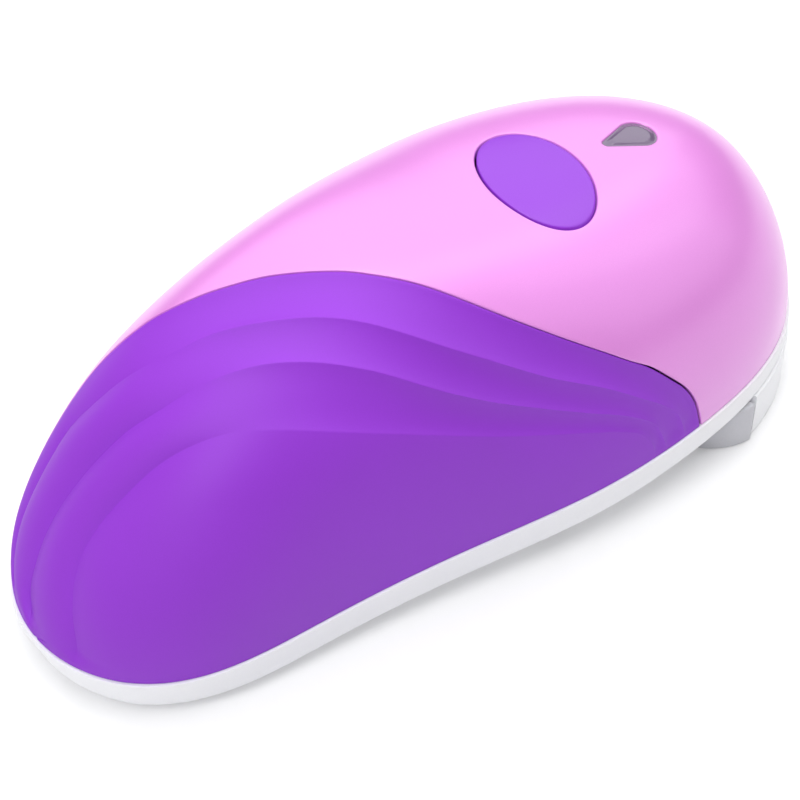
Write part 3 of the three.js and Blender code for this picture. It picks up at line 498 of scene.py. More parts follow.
# ------------------------------------------------------------------------------------------
# Side grip with its three stepped waves
# ------------------------------------------------------------------------------------------
def build_grip():
    lines = []
    g = gap_at(edge_ab_main)
    step = offset(edge_ab_main, 1.0) - edge_ab_main
    for d in (0.0, 0.08, 0.2, 0.34, 0.5, 1.0):
        lines.append((edge_ab_main - step * (g + d)[:, None], False))
    boundary = edge_ab_main - step * g[:, None]
    b3 = chart(boundary)
    curves = []
    for r in RIPPLES:
        ab = resample(hermite(from_parameter(r), 10), 0.7)
        keep_mono = np.concatenate([[True], np.diff(np.maximum.accumulate(ab[:, 0])) > 1e-4])
        ab = ab[keep_mono]
        curves.append(ab)
        for d in (-0.9, -0.5, -0.3, -0.15, 0.0, 0.15, 0.3, 0.5, 0.9):
            line = offset(ab, d)
            line = line[(line[:, 1] > 0.2) & (line[:, 1] < math.pi * RB - 0.2)]
            lines.append((line, False))
    for z in SEAM_RINGS:
        s = seam_line(z, False)
        lines.append((s[s[:, 0] < edge_ab_main[-1, 0] + 0.5], False))
        s = seam_line(z, True)
        lines.append((s[s[:, 0] < edge_ab_main[0, 0] + 0.5], False))
    order = np.argsort(boundary[:, 0])
    c3 = [chart(c) for c in curves]

    def keep(c):
        edge = np.interp(c[:, 0], boundary[order, 0], boundary[order, 1], left=1e9, right=-1e9)
        return above_seam(c) & (c[:, 1] < edge)

    def clear(c):
        p = chart(c)
        ok = (far_from(p, b3) > 1.2) & (p[:, 2] > 1.9)
        for q in c3:
            ok &= far_from(p, q) > 1.1
        return ok & keep(c)

    v, t = patch(lines, keep, 1.35, clear, None)
    p, n = chart(v), normals(v)
    away = []
    for ab, q in zip(curves, c3):
        o = np.argsort(ab[:, 0])
        side = np.where(v[:, 1] < np.interp(v[:, 0], ab[o, 0], ab[o, 1], left=1e9 if ab[0, 1] > 50 else -1e9, right=-1e9), 1.0, -1.0)
        away.append(far_from(p, q) * side)
    # towards the head each field is a shallow flute between two crests; round the tail it is a low roll between two valleys
    wave = np.zeros(len(v))
    gates = [np.ones(len(v))] + [smooth((s + RIPPLE_RUN / 2) / RIPPLE_RUN) for s in away]
    from_edge = far_from(p, b3)
    tail = 1 - smooth((p[:, 0] + 64) / 30)
    for k in range(3):
        run = np.maximum(away[k - 1], 0) if k else from_edge
        rest = np.maximum(-away[k], 0)
        width = 8 * np.tanh((run + rest) / 8)
        part = run / np.maximum(run + rest, 1e-6)
        flute = 1.5 * np.tanh(width * FLUTE * 4 * part * (1 - part) / 1.5)
        valley = VALLEY * ((1 - 2 * part) ** 2 if k else part ** 2)
        wave += ((1 - tail) * flute + tail * valley) * gates[k] * (1 - gates[k + 1])
    wave += tail * VALLEY * np.clip(1 - away[2] / 10, 0, 1) ** 2 * gates[3]
    wave *= smooth((p[:, 2] - 0.5) / 3)
    d = np.maximum(fillet(far_from(p, b3), 0.5), fillet(np.maximum(p[:, 2] - SEAM_Z, 0), SEAM_R)) + wave
    outer = p - n * d[:, None]
    inner = p - n * (1.1 + wave)[:, None]
    inner[:, 2] = np.maximum(inner[:, 2], SEAM_Z)
    outer[:, 2] = np.maximum(outer[:, 2], SEAM_Z)
    verts, faces = thick(outer, inner, t)
    return new_object("wave_grip", verts, faces, angle=55)


# ------------------------------------------------------------------------------------------
# White base: tray, band, lip, skirt and underside openings
# ------------------------------------------------------------------------------------------
BASE_DEPTH, FLOOR, BASE_WALL = 9.0, 2.2, 2.4
DRIVE, IDLER, ARM_PIVOT, CUTTER, MAGNET = (49.0, 0.0), (27.038, 13.943), (60.0, -20.0), (67.4, -3.0), (31.0, -14.0)
DOOR = dict(x0=-57.6, x1=-4.8, y=14.9)
SHELL_POSTS = [(76, 0), (-64.5, 0), (8, 28.6), (8, -28.6)]
SKIRT_FROM, SKIRT_WALL, SKIRT_OUT, PROUD = 56.4, 2.4, 0.9, 0.4


def ground_z(x):
    return GROUND_Z0 - SLOPE * x


def loft(rings):
    n = len(rings[0])
    v = np.concatenate(rings)
    f = []
    for r in range(len(rings) - 1):
        for i in range(n):
            j = (i + 1) % n
            f.append((r * n + i, r * n + j, (r + 1) * n + j, (r + 1) * n + i))
    f.append(tuple(reversed(range(n))))
    f.append(tuple((len(rings) - 1) * n + i for i in range(n)))
    return v, f


def wall_drop(x):
    return 1.4 + 1.6 * float(smooth((x + 84) / 10)) + 1.9 * float(smooth((x + 84) / 34)) - 0.5 * float(smooth((x - 10) / 30))


def tray_ring(x, inset, depth, top, steps=9):
    w0 = float(width(x))
    w = max(w0 - inset, 0.01)
    xx = x * (1 - inset / HALF)
    depth = max(depth, 0.3)
    wall = min(wall_drop(x), depth * 0.8)
    r = min(max(depth - wall, 0.5), w * 0.96) * 1.05
    r = min(r, w * 0.98)
    lead = min(0.28, w * 0.3) if inset < 0 else 0.0
    near = [(w - lead, top), (w - 0.3 * lead, top - 0.3 * lead), (w, top - 0.28), (w, -wall * 0.5), (w, -wall)]
    for i in range(1, steps + 1):
        a = math.pi / 2 * i / steps
        near.append((w - r * (1 - math.cos(a)), -wall - (depth - wall) * math.sin(a)))
    pts = [(xx, -y, z) for y, z in near] + [(xx, y, z) for y, z in reversed(near)]
    return np.array(pts)


def end_depth(x, full):
    e, q = (24, 0.5) if x < 0 else (70, 0.42)
    return full * max(1 - (abs(x) / HALF) ** e, 0) ** q


def solid(name, v, f):
    ob = new_object(name, v, f, angle=30)
    return ob


def prism_points(points, z0, z1):
    p = np.array(points, float)
    n = len(p)
    v = np.concatenate([np.c_[p, np.full(n, z0)], np.c_[p, np.full(n, z1)]])
    f = [tuple(reversed(range(n))), tuple(range(n, 2 * n))] + [(i, (i + 1) % n, n + (i + 1) % n, n + i) for i in range(n)]
    return v, f


def ring_points(x, y, r, n=48, start=0.0, stop=2 * math.pi):
    full = stop - start > 6.28
    t = np.linspace(start, stop, n, endpoint=not full)
    return np.stack([x + r * np.cos(t), y + r * np.sin(t)], -1)


def rod(name, x, y, r, z0, z1, n=48):
    return solid(name, *prism_points(ring_points(x, y, r, n), z0, z1))


def round_rect(x0, x1, y0, y1, r, n=8):
    q = math.pi / 2
    return np.concatenate([ring_points(x1 - r, y1 - r, r, n, 0, q), ring_points(x0 + r, y1 - r, r, n, q, 2 * q), ring_points(x0 + r, y0 + r, r, n, 2 * q, 3 * q), ring_points(x1 - r, y0 + r, r, n, 3 * q, 4 * q)])


def turned(name, x, y, profile, n=64, angle=32):
    """Lathe part about a vertical axis: profile of (radius, z), from the axis to the axis."""
    v, f = [], []
    k = len(profile)
    for i in range(n):
        a = 2 * math.pi * i / n
        for r, z in profile:
            v.append((x + r * math.cos(a), y + r * math.sin(a), z))
    for i in range(n):
        j = (i + 1) % n
        for m in range(k - 1):
            f.append((i * k + m, j * k + m, j * k + m + 1, i * k + m + 1))
        if profile[0][0] > 1e-6:
            f.append((i * k + k - 1, j * k + k - 1, j * k, i * k))
    return new_object(name, v, f, angle=angle)


def soften(profile, r, steps=4):
    """Rounds the corners of a lathe profile."""
    out = [profile[0]]
    for i in range(1, len(profile) - 1):
        p0, p1, p2 = (np.array(profile[i + k], float) for k in (-1, 0, 1))
        a, b = p0 - p1, p2 - p1
        la, lb = np.linalg.norm(a), np.linalg.norm(b)
        if la < 1e-9 or lb < 1e-9:
            continue
        cut = min(r, la * 0.45, lb * 0.45)
        s, e = p1 + a / la * cut, p1 + b / lb * cut
        for t in np.linspace(0, 1, steps + 1):
            out.append(tuple((1 - t) ** 2 * s + 2 * t * (1 - t) * p1 + t * t * e))
    out.append(profile[-1])
    return out


def front_outline(inset, n=44):
    """Plan outline of the head, from the near side round the nose to the far side."""
    u0 = float(u_of(SKIRT_FROM))
    u = np.linspace(u0, math.pi, n)
    x = -HALF * np.cos(u)
    near = np.stack([x, -width(x)], -1)
    pts = np.concatenate([near, near[::-1][1:] * [1, -1]])
    t = np.gradient(pts, axis=0)
    nrm = np.stack([t[:, 1], -t[:, 0]], -1)
    nrm /= np.linalg.norm(nrm, axis=-1, keepdims=True)
    return pts, nrm


def build_base():
    xs = -HALF * np.cos(np.linspace(0.035, math.pi - 0.035, 131))
    outer = solid("white_base", *loft([tray_ring(x, -PROUD, max(end_depth(x, BASE_DEPTH), wall_drop(x) + 0.4), -0.05) for x in xs]))
    inner_rings = [tray_ring(x, BASE_WALL, max(end_depth(x, BASE_DEPTH) - FLOOR, wall_drop(x) * 0.6 + 0.2), 0.5, 5) for x in xs[::2]]
    cavity = solid("cavity", *loft(inner_rings))
    # skirt
    pts, nrm = front_outline(0)
    rings = []
    for (x, y), m in zip(pts, nrm):
        out = SKIRT_OUT
        g = ground_z(x)
        top = -5.7 + 1.3 * float(smooth((x - 70) / 12))
        prof = [(out - 1.6, top), (out - 0.35, top), (out - 0.1, top - 0.1), (out, top - 0.4), (out, g + 1.3)]
        for a in np.linspace(0, math.pi / 2, 7)[1:]:
            prof.append((out - 1.1 * (1 - math.cos(a)), g + 1.3 - 1.3 * math.sin(a)))
        prof += [(-SKIRT_WALL + 0.35, g), (-SKIRT_WALL, g + 0.35), (-SKIRT_WALL, -7.5), (-SKIRT_WALL, top)]
        rings.append(np.array([(x + m[0] * o, y + m[1] * o, z) for o, z in prof]))
    skirt = solid("skirt", *loft(rings))
    boolean(outer, skirt, "UNION")
    boolean(outer, cavity, "DIFFERENCE")
    # lip that fills the joint line from inside
    xl = -HALF * np.cos(np.linspace(0.06, math.pi - 0.06, 141))
    ring = np.concatenate([np.stack([xl, -width(xl)], -1), np.stack([xl, width(xl)], -1)[::-1]])
    lip_out = ring * [1 - 2.05 / HALF, 1 - 2.05 / 36]
    lip_in = ring * [1 - 3.3 / HALF, 1 - 3.3 / 36]
    lip = solid("lip", *prism_points(lip_out, -3.2, 1.1))
    boolean(lip, solid("lip_in", *prism_points(lip_in, -6, 4)), "DIFFERENCE")
    boolean(outer, lip, "UNION")
    # bosses
    for i, (x, y) in enumerate(SHELL_POSTS):
        boolean(outer, rod("post", x, y, 3.6, -BASE_DEPTH + 1.2, -0.3, 32), "UNION")
    boolean(outer, rod("seat1", *DRIVE, 7, -7.6, -2.4), "UNION")
    boolean(outer, rod("seat2", *ARM_PIVOT, 4.8, -7.6, -6.3), "UNION")
    boolean(outer, rod("seat3", *MAGNET, 4.0, -7.6, -6.4), "UNION")
    # holes from below
    for (x, y) in SHELL_POSTS:
        boolean(outer, turned("cb", x, y, [(0, -14), (3.5, -14), (3.5, -BASE_DEPTH - 0.25), (3.0, -BASE_DEPTH + 0.25), (3.0, -BASE_DEPTH + 3.0), (0, -BASE_DEPTH + 3.0)], 40), "DIFFERENCE")
    boolean(outer, turned("h1", *DRIVE, [(0, -14), (4.9, -14), (4.9, -9.2), (4.6, -8.8), (4.6, 2), (0, 2)], 56), "DIFFERENCE")
    boolean(outer, turned("h2", *ARM_PIVOT, [(0, -14), (3.1, -14), (3.1, -9.2), (2.65, -8.7), (2.65, 2), (0, 2)], 40), "DIFFERENCE")
    boolean(outer, turned("h3", *MAGNET, [(0, -14), (2.9, -14), (2.9, -9.2), (2.4, -8.7), (2.4, 2), (0, 2)], 40), "DIFFERENCE")
    boolean(outer, solid("bay", *prism_points(round_rect(DOOR["x0"] - 0.35, DOOR["x1"] + 0.35, -DOOR["y"] - 0.35, DOOR["y"] + 0.35, 2.7), -12, -0.1)), "DIFFERENCE")
    boolean(outer, rod("scoop", DOOR["x0"] - 1.5, 0, 4.4, -12, -BASE_DEPTH + 1.1), "DIFFERENCE")
    boolean(outer, rod("gs", 50.5, -31.0, 1.5, -12, -2, 24), "DIFFERENCE")
    # shallow recessed field round the mechanism, and the standing flat at the tail
    g = 200.0
    plane = [(-g, -g, ground_z(-g) - 60), (g, -g, ground_z(g) - 60), (g, g, ground_z(g) - 60), (-g, g, ground_z(-g) - 60), (-g, -g, ground_z(-g)), (g, -g, ground_z(g)), (g, g, ground_z(g)), (-g, g, ground_z(-g))]
    boolean(outer, solid("ground_cut", np.array(plane, float), [(3, 2, 1, 0), (4, 5, 6, 7), (0, 1, 5, 4), (1, 2, 6, 5), (2, 3, 7, 6), (3, 0, 4, 7)]), "DIFFERENCE")
    return tidy(outer, 30, 2e-6)


# ------------------------------------------------------------------------------------------
# Button and window
# ------------------------------------------------------------------------------------------
def polar(outline, centre, levels, top, bottom):
    """Cap over a plan outline. levels are the ring fractions, top(x, y, f) and bottom(x, y) the heights."""
    n = len(outline)
    c = np.array(centre, float)
    v, f = [(c[0], c[1], float(top(c[0], c[1], 0.0)))], []
    for q in levels:
        for p in outline:
            x, y = c + (p - c) * q
            v.append((x, y, float(top(x, y, q))))
    for i in range(n):
        f.append((0, 1 + i, 1 + (i + 1) % n))
    for k in range(len(levels) - 1):
        for i in range(n):
            j = (i + 1) % n
            a, b = 1 + k * n, 1 + (k + 1) * n
            f.append((a + i, b + i, b + j, a + j))
    last = 1 + (len(levels) - 1) * n
    base = len(v)
    for p in outline:
        v.append((p[0], p[1], float(bottom(p[0], p[1]))))
    for i in range(n):
        j = (i + 1) % n
        f.append((last + i, base + i, base + j, last + j))
    f.append(tuple(reversed(range(base, base + n))))
    return np.array(v), f


def build_button():
    levels = [0.12, 0.25, 0.38, 0.5, 0.6, 0.7, 0.78, 0.85, 0.9, 0.935, 0.96, 0.975, 0.987, 0.995, 1.0]
    r = 0.3

    def top(x, y, q):
        s = (1 - q) * BUTTON["a"] * 1.15
        return float(skin_z(x, y)) + 0.04 + 0.35 * (1 - q * q) - float(fillet(np.array(s), r))

    v, f = polar(oval(0.0), (BUTTON["x"], BUTTON["y"]), levels, top, lambda x, y: float(skin_z(x, y)) - 3.6)
    return new_object("thumb_button", v, f, angle=60)


def build_lens():
    inner = LENS["x"] - 0.9
    levels = list(np.linspace(0.1, 0.5, 5)) + [0.56, 0.61, 0.66, 0.7, 0.74, 0.78, 0.82, 0.86, 0.9, 0.95, 1.0]

    def top(x, y, q):
        raised = 0.3 * (1 - float(smooth((q - 0.66) / 0.26)))
        return float(skin_z(x, y)) - 0.36 + raised + 0.04 * (1 - q)

    v, f = polar(drop(LENS["grow"] + 0.02, 56), (inner, LENS["y"] + 0.02), levels, top, lambda x, y: float(skin_z(x, y)) - 1.7)
    return new_object("smoke_window", v, f, angle=60)


# ------------------------------------------------------------------------------------------
# Parts under the head and on the underside
# ------------------------------------------------------------------------------------------
def link_outline(p, r1, q, r2, n=24):
    (x1, y1), (x2, y2) = p, q
    d = math.hypot(x2 - x1, y2 - y1)
    a, b = math.atan2(y2 - y1, x2 - x1), math.acos((r1 - r2) / d)
    return np.concatenate([ring_points(x1, y1, r1, n, a + b, a + 2 * math.pi - b), ring_points(x2, y2, r2, n, a - b, a + b)])


def build_drive_wheel():
    pts = []
    teeth = 22
    for i in range(teeth):
        for f, r in ((-0.30, 5.35), (-0.16, 5.98), (0.16, 5.98), (0.30, 5.35)):
            a = 2 * math.pi * (i + f) / teeth
            pts.append((DRIVE[0] + r * math.cos(a), DRIVE[1] + r * math.sin(a)))
    ob = solid("feed_wheel", *prism_points(pts, -14.85, -11.4))
    rounded(ob, 0.12, 1, 25)
    boolean(ob, rod("hub", *DRIVE, 4.6, -11.6, -10.75, 56), "UNION")
    return ob


def build_guard():
    pts = np.concatenate([ring_points(56, -22, 14.2, 40, math.radians(212), math.radians(269)), np.array([(54.9, -31.9), (57.4, -30.3), (56.0, -29.0), (52.6, -28.9), (49.2, -27.2), (46.6, -24.6)])])
    v, f = prism_points(pts, -18, -6.7)
    v[:len(pts), 2] = ground_z(v[:len(pts), 0]) + 0.33
    ob = rounded(solid("grey_guard", v, f), 0.5, 3, 28)
    xs = -HALF * np.cos(np.linspace(0.035, math.pi - 0.035, 131))
    under = solid("under", *loft([tray_ring(x, -PROUD - 0.06, max(end_depth(x, BASE_DEPTH), wall_drop(x) + 0.4) + 0.08, -0.05) for x in xs]))
    boolean(ob, under, "DIFFERENCE")
    return tidy(ob, 34)


def build_cutter_arm():
    ob = solid("swing_arm", *prism_points(link_outline(ARM_PIVOT, 7, CUTTER, 5.6, 40), -12.7, -9.9))
    boolean(ob, rod("boss", *ARM_PIVOT, 5, -15.9, -12.4, 56), "UNION")
    boolean(ob, rod("h1", *ARM_PIVOT, 2.7, -18, -5, 40), "DIFFERENCE")
    boolean(ob, rod("h2", *CUTTER, 1.75, -18, -5, 32), "DIFFERENCE")
    return rounded(ob, 0.3, 2, 35)


def build_cutting_wheel():
    ob = turned("cutting_disc", *CUTTER, [(2.35, -15.1), (4.45, -15.1), (4.6, -15.05), (6.97, -14.1), (7.0, -14.02), (6.97, -13.95), (5.2, -13.1), (2.35, -13.1), (2.35, -15.1)], 96, 25)
    return tidy(ob, 25)


def build_magnet_holder():
    ob = turned("magnet_cup", *MAGNET, soften([(0, -13.0), (7.3, -13.0), (7.9, -12.4), (7.9, -11.4), (2.2, -11.4), (2.2, -3.9), (0, -3.9)], 0.25), 72)
    boolean(ob, turned("pocket", *MAGNET, [(0, -14), (6.3, -14), (6.3, -12.0), (0, -12.0)], 64), "DIFFERENCE")
    boolean(ob, turned("groove", *MAGNET, [(1.75, -5.95), (3.4, -5.95), (3.4, -4.85), (1.75, -4.85), (1.75, -5.95)], 40), "DIFFERENCE")
    return tidy(ob, 35)


def socket_screw(name, x, y, profile, drive, depth):
    """Turned screw or pin with a cross recess in the head, seen from below."""
    ob = turned(name, x, y, soften(profile, 0.18), 56)
    w = 0.3
    z = profile[0][1]
    cross = [(drive, w), (w, w), (w, drive), (-w, drive), (-w, w), (-drive, w), (-drive, -w), (-w, -w), (-w, -drive), (w, -drive), (w, -w), (drive, -w)]
    boolean(ob, solid("x", *prism_points([(x + a, y + b) for a, b in cross], z - 1, z + depth)), "DIFFERENCE")
    return tidy(ob, 35)


def build_hatch():
    x0, x1, y = DOOR["x0"] + 0.05, DOOR["x1"] - 0.05, DOOR["y"] - 0.05
    ob = solid("battery_hatch", *prism_points(round_rect(x0, x1, -y, y, 2.4), -BASE_DEPTH, -7.2))
    for i in range(5):
        w = 8.5 - abs(i - 2) * 0.9
        boolean(ob, solid("g", *prism_points(round_rect(x0 + 4.2 + i * 2.1, x0 + 5.2 + i * 2.1, -w, w, 0.49, 6), -12, -BASE_DEPTH + 0.55)), "DIFFERENCE")
    return rounded(ob, 0.3, 3, 40)


def screw_head(name, x, y, z, r=2.5, drive=1.15):
    """Cross-recessed pan head, seen from below."""
    ob = turned(name, x, y, soften([(0, z), (r * 0.75, z), (r, z + 0.55), (r, z + 1.3), (1.3, z + 1.3), (1.3, z + 6), (0, z + 6)], 0.25), 40)
    w = 0.28
    cross = [(drive, w), (w, w), (w, drive), (-w, drive), (-w, w), (-drive, w), (-drive, -w), (-w, -w), (-w, -drive), (w, -drive), (w, -w), (drive, -w)]
    boolean(ob, solid("x", *prism_points([(x + a, y + b) for a, b in cross], z - 1, z + 0.9)), "DIFFERENCE")
    return tidy(ob, 35)


# ------------------------------------------------------------------------------------------
# Materials
# ------------------------------------------------------------------------------------------
def material(name, color, rough, metallic=0.0, vary=0.03, scale=900.0, bump=0.0, bump_scale=2500.0, rough_vary=0.06, coat=0.0, coat_rough=0.1, sheen=0.0, ior=1.46, transmission=0.0, spec_tint=None, wear=0.0, dirt=0.0, stretch=None, subsurface=0.0, alpha=1.0):
    """Moulded or machined surface: a fine grain in colour and roughness, a soft mottling, and a bump from the same coordinates."""
    m = bpy.data.materials.new(name)
    m.use_nodes = True
    nt = m.node_tree
    nt.nodes.clear()
    N = nt.nodes.new
    L = nt.links.new
    out = N("ShaderNodeOutputMaterial")
    b = N("ShaderNodeBsdfPrincipled")
    L(b.outputs[0], out.inputs[0])
    tc = N("ShaderNodeTexCoord")
    src = tc.outputs["Object"]
    if stretch:
        mp = N("ShaderNodeMapping")
        mp.inputs["Scale"].default_value = stretch
        L(src, mp.inputs["Vector"])
        src = mp.outputs[0]
    fine = N("ShaderNodeTexNoise")
    fine.inputs["Scale"].default_value = scale
    fine.inputs["Detail"].default_value = 4
    L(src, fine.inputs["Vector"])
    broad = N("ShaderNodeTexNoise")
    broad.inputs["Scale"].default_value = 28
    broad.inputs["Detail"].default_value = 2
    L(src, broad.inputs["Vector"])
    add = N("ShaderNodeMath")
    add.operation = "MULTIPLY_ADD"
    add.inputs[1].default_value = 0.5
    L(fine.outputs["Fac"], add.inputs[0])
    half = N("ShaderNodeMath")
    half.operation = "MULTIPLY"
    half.inputs[1].default_value = 0.5
    L(broad.outputs["Fac"], half.inputs[0])
    L(half.outputs[0], add.inputs[2])
    ramp = N("ShaderNodeValToRGB")
    lo = [max(c * (1 - vary), 0) for c in color]
    hi = [min(c * (1 + vary), 1) for c in color]
    ramp.color_ramp.elements[0].position = 0.36
    ramp.color_ramp.elements[1].position = 0.64
    ramp.color_ramp.elements[0].color = (*lo, 1)
    ramp.color_ramp.elements[1].color = (*hi, 1)
    L(add.outputs[0], ramp.inputs[0])
    L(ramp.outputs[0], b.inputs["Base Color"])
    mr = N("ShaderNodeMapRange")
    mr.inputs["From Min"].default_value = 0.3
    mr.inputs["From Max"].default_value = 0.7
    mr.inputs["To Min"].default_value = max(rough - rough_vary, 0.02)
    mr.inputs["To Max"].default_value = min(rough + rough_vary, 1)
    L(add.outputs[0], mr.inputs["Value"])
    L(mr.outputs[0], b.inputs["Roughness"])
    if bump:
        bn = N("ShaderNodeTexNoise")
        bn.inputs["Scale"].default_value = bump_scale
        bn.inputs["Detail"].default_value = 3
        L(src, bn.inputs["Vector"])
        bp = N("ShaderNodeBump")
        bp.inputs["Strength"].default_value = bump
        bp.inputs["Distance"].default_value = 0.0001
        L(bn.outputs["Fac"], bp.inputs["Height"])
        L(bp.outputs[0], b.inputs["Normal"])
    b.inputs["Metallic"].default_value = metallic
    b.inputs["IOR"].default_value = ior
    b.inputs["Coat Weight"].default_value = coat
    b.inputs["Coat Roughness"].default_value = coat_rough
    b.inputs["Sheen Weight"].default_value = sheen
    b.inputs["Sheen Roughness"].default_value = 0.4
    if spec_tint:
        b.inputs["Specular Tint"].default_value = (*spec_tint, 1)
    if transmission:
        b.inputs["Transmission Weight"].default_value = transmission
    if subsurface:
        b.inputs["Subsurface Weight"].default_value = subsurface
        b.inputs["Subsurface Scale"].default_value = 0.002
        b.inputs["Subsurface Radius"].default_value = (1.0, 0.6, 1.0)
    return m


PINK = material("pearl_pink", (0.81, 0.285, 0.785), 0.36, metallic=0.08, vary=0.03, scale=5200, bump=0.02, bump_scale=900, rough_vary=0.035, coat=0.8, coat_rough=0.26, spec_tint=(1.0, 0.9, 1.0))
PINK.node_tree.nodes["Principled BSDF"].inputs["Coat IOR"].default_value = 1.5
PURPLE = material("soft_purple", (0.30, 0.040, 0.65), 0.56, vary=0.035, scale=4200, bump=0.10, bump_scale=5200, ior=1.4)
VIOLET = material("button_violet", (0.29, 0.042, 0.65), 0.34, vary=0.03, scale=4200, bump=0.04, bump_scale=4800, coat=0.1, coat_rough=0.25)
WHITE = material("white_plastic", (0.96, 0.965, 1.0), 0.38, vary=0.015, scale=2600, bump=0.05, bump_scale=3600)
SMOKE = material("smoke_window", (0.17, 0.125, 0.21), 0.24, vary=0.03, scale=1800, bump=0.01, coat=0.6, coat_rough=0.05)
GREY = material("grey_plastic", (0.60, 0.60, 0.64), 0.36, vary=0.03, scale=2400, bump=0.05, bump_scale=3200)
DARK = material("dark_plastic", (0.035, 0.035, 0.04), 0.5, vary=0.1, scale=2400, bump=0.08)
STEEL = material("hardened_steel", (0.56, 0.57, 0.58), 0.28, metallic=1.0, vary=0.06, scale=1600, bump=0.05, rough_vary=0.08)
PLATED = material("plated_steel", (0.66, 0.67, 0.69), 0.24, metallic=1.0, vary=0.05, scale=1400, bump=0.03)
ZINC = material("zinc_alloy", (0.47, 0.48, 0.50), 0.42, metallic=0.9, vary=0.07, scale=1200, bump=0.12, bump_scale=2600)
NICKEL = material("magnet_nickel", (0.72, 0.71, 0.70), 0.16, metallic=1.0, vary=0.03, scale=1400, bump=0.02)
BRASS = material("brass", (0.72, 0.52, 0.24), 0.3, metallic=1.0, vary=0.06, scale=1400, bump=0.04)
NYLON = material("nylon", (0.82, 0.79, 0.70), 0.45, vary=0.03, scale=1500, bump=0.04)
BOARD = material("board_green", (0.02, 0.17, 0.07), 0.35, vary=0.12, scale=1500, bump=0.03)
BLACK = material("black_plastic", (0.022, 0.022, 0.025), 0.4, vary=0.1, scale=2400, bump=0.06)
CELL = material("cell_jacket", (0.06, 0.07, 0.09), 0.3, metallic=0.3, vary=0.08, scale=1200, bump=0.02)
CLEAR = material("led_clear", (0.85, 0.86, 0.9), 0.1, vary=0.02, scale=1500, bump=0.01, coat=0.3)
MOTOR = material("motor_metal", (0.60, 0.61, 0.62), 0.3, metallic=1.0, vary=0.05, scale=1500, bump=0.05, stretch=(1, 1, 6))
RED = material("lead_red", (0.5, 0.03, 0.02), 0.45, vary=0.06, scale=1500, bump=0.03)
LEAD = material("lead_black", (0.02, 0.02, 0.02), 0.45, vary=0.06, scale=1500, bump=0.03)
SLOTS = {"pearl_pink": PINK, "soft_purple": PURPLE, "white_plastic": WHITE, "button_purple": VIOLET, "lens_smoke": SMOKE, "grey_plastic": GREY, "dark_plastic": DARK, "cell_jacket": CELL, "plated_steel": PLATED, "hardened_steel": STEEL, "motor_metal": MOTOR, "nylon": NYLON, "brass": BRASS, "board_green": BOARD, "black_plastic": BLACK, "led_clear": CLEAR, "zinc_alloy": ZINC, "magnet_nickel": NICKEL, "lead_red": RED, "lead_black": LEAD}

for part in frame["record"]["subparts"]:
    node = frame["nodes"][part["node"]]
    node.data.materials.clear()
    node.data.materials.append(SLOTS[part["material_slot"]])
    node.data.polygons.foreach_set("use_smooth", [True] * len(node.data.polygons))
    node.data.set_sharp_from_angle(angle=math.radians(30))

# ------------------------------------------------------------------------------------------
# Assembly
# ------------------------------------------------------------------------------------------
place(build_dome(), "housing", "pearl_pink", PINK, "top_shell")
place(build_grip(), "housing", "soft_purple", PURPLE, "side_grip")
place(build_base(), "housing", "white_plastic", WHITE, "base_shell")
place(build_button(), "button", "button_purple", VIOLET, "power_button")
place(build_lens(), "housing", "lens_smoke", SMOKE, "indicator_lens")
place(build_guard(), "housing", "grey_plastic", GREY, "cutter_guard")
place(build_hatch(), "door", "white_plastic", WHITE, "battery_door")
place(build_drive_wheel(), "drive", "hardened_steel", STEEL, "drive_wheel")
place(build_cutter_arm(), "arm", "zinc_alloy", ZINC, "cutter_arm")
place(build_cutting_wheel(), "cutter", "hardened_steel", STEEL, "cutting_wheel")
place(build_magnet_holder(), "magnet", "white_plastic", WHITE, "magnet_holder")
place(turned("magnet_disc", *MAGNET, soften([(0, -14.6), (5.7, -14.6), (6.0, -14.3), (6.0, -12.3), (0, -12.3)], 0.15), 72), "magnet", "magnet_nickel", NICKEL, "lid_magnet")
place(socket_screw("wheel_screw", *DRIVE, [(0, -16.1), (2.6, -16.1), (3.3, -15.6), (3.3, -15.2), (0, -15.2)], 1.5, 0.5), "drive", "plated_steel", PLATED, "drive_wheel_screw")
place(socket_screw("cutter_bolt", *CUTTER, [(0, -16.5), (3.0, -16.5), (3.5, -16.0), (3.5, -15.4), (2.2, -15.4), (2.2, -13.0), (1.45, -13.0), (1.45, -10.2), (0, -10.2)], 1.6, 0.6), "arm", "plated_steel", PLATED, "cutter_screw")
place(turned("pivot_pin", *ARM_PIVOT, soften([(0, -16.7), (3.8, -16.7), (3.8, -16.2), (2.45, -16.2), (2.45, -5.9), (1.9, -5.9), (1.9, -2.6), (0, -2.6)], 0.15), 56), "arm", "plated_steel", PLATED, "arm_pivot_pin")

# ------------------------------------------------------------------------------------------
# Camera, floor and light
# ------------------------------------------------------------------------------------------
AZ, EL, DIST = math.radians(-39.01), math.radians(46.974), 424.22
TARGET = np.array([0.0, 0.0, 17.684])
back = np.array([math.sin(AZ) * math.cos(EL), -math.cos(AZ) * math.cos(EL), math.sin(EL)])
right = np.array([math.cos(AZ), math.sin(AZ), 0.0])
up = np.cross(back, right)
tilt = np.array([[CB, 0, -SB], [0, 1, 0], [SB, 0, CB]])
cam_data = bpy.data.cameras.new("camera")
cam = bpy.data.objects.new("camera", cam_data)
bpy.context.scene.collection.objects.link(cam)
m = Matrix.Identity(4)
for i, axis in enumerate((right, up, back)):
    axis = tilt @ axis
    for k in range(3):
        m[k][i] = float(axis[k])
pos = row(TARGET + back * DIST)
for k in range(3):
    m[k][3] = float(pos[k])
cam.matrix_world = m
cam_data.sensor_width = 36
cam_data.sensor_fit = "HORIZONTAL"
cam_data.lens = 36 * 2319.1 / 800
cam_data.shift_x = -0.01614
cam_data.shift_y = -0.06938
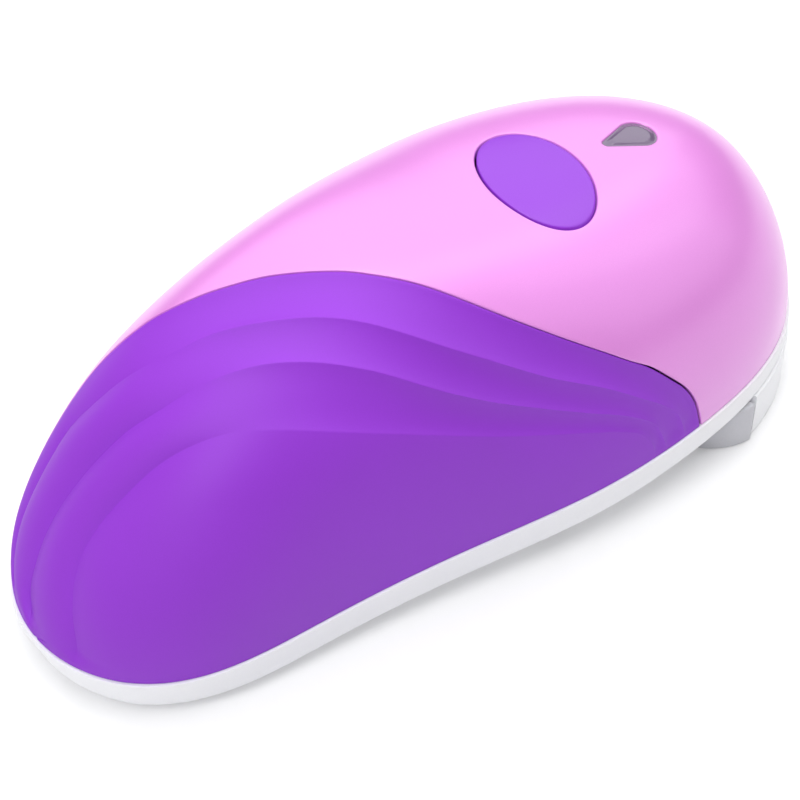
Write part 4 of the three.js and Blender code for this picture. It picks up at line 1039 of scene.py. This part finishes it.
cam_data.clip_start = 0.01
cam_data.clip_end = 20
cam_data.dof.use_dof = False
bpy.context.scene.camera = cam


def stage_floor():
    me = bpy.data.meshes.new("floor")
    s = 3.0
    me.from_pydata([(-s, -s, 0), (s, -s, 0), (s, s, 0), (-s, s, 0)], [], [(0, 1, 2, 3)])
    ob = bpy.data.objects.new("floor", me)
    bpy.context.scene.collection.objects.link(ob)
    mat = bpy.data.materials.new("floor")
    mat.use_nodes = True
    b = mat.node_tree.nodes["Principled BSDF"]
    b.inputs["Base Color"].default_value = (0.80, 0.80, 0.81, 1)
    b.inputs["Roughness"].default_value = 0.7
    b.inputs["Specular IOR Level"].default_value = 0.2
    b.inputs["Emission Color"].default_value = (1, 1, 1, 1)
    b.inputs["Emission Strength"].default_value = 0.16
    me.materials.append(mat)
    return ob


stage_floor()


def area(name, at, look, size, power, size_y=None, color=(1, 1, 1)):
    d = bpy.data.lights.new(name, "AREA")
    d.shape = "RECTANGLE"
    d.size = size
    d.size_y = size_y or size
    d.energy = power
    d.color = color
    ob = bpy.data.objects.new(name, d)
    bpy.context.scene.collection.objects.link(ob)
    v = Vector(look) - Vector(at)
    ob.location = at
    ob.rotation_euler = v.to_track_quat("-Z", "Y").to_euler()
    return ob


area("back", (0.386, 0.668, 0.92), (0, 0, 0.03), 1.8, 10.5, 1.3)
area("key", (-0.76, -0.22, 0.95), (0, 0, 0.03), 0.6, 6.1)
area("top", (0.0, 0.0, 1.2), (0, 0, 0.03), 1.0, 8.2)
area("right", (0.9, -0.1, 0.9), (0, 0, 0.03), 0.8, 2.2)
area("front_right", (0.85, -0.65, 0.6), (0, 0, 0.03), 0.8, 2.0)
area("back_left", (-0.6, 0.7, 0.9), (0, 0, 0.03), 0.8, 0.6)
area("front_left", (-0.75, -0.7, 0.5), (0, 0, 0.03), 0.8, 0.5)

world = bpy.data.worlds.new("world")
bpy.context.scene.world = world
world.use_nodes = True
bg = world.node_tree.nodes["Background"]
bg.inputs["Color"].default_value = (1, 1, 1, 1)
bg.inputs["Strength"].default_value = 0.02
bpy.context.scene.view_settings.view_transform = "Standard"
bpy.context.scene.view_settings.look = "None"
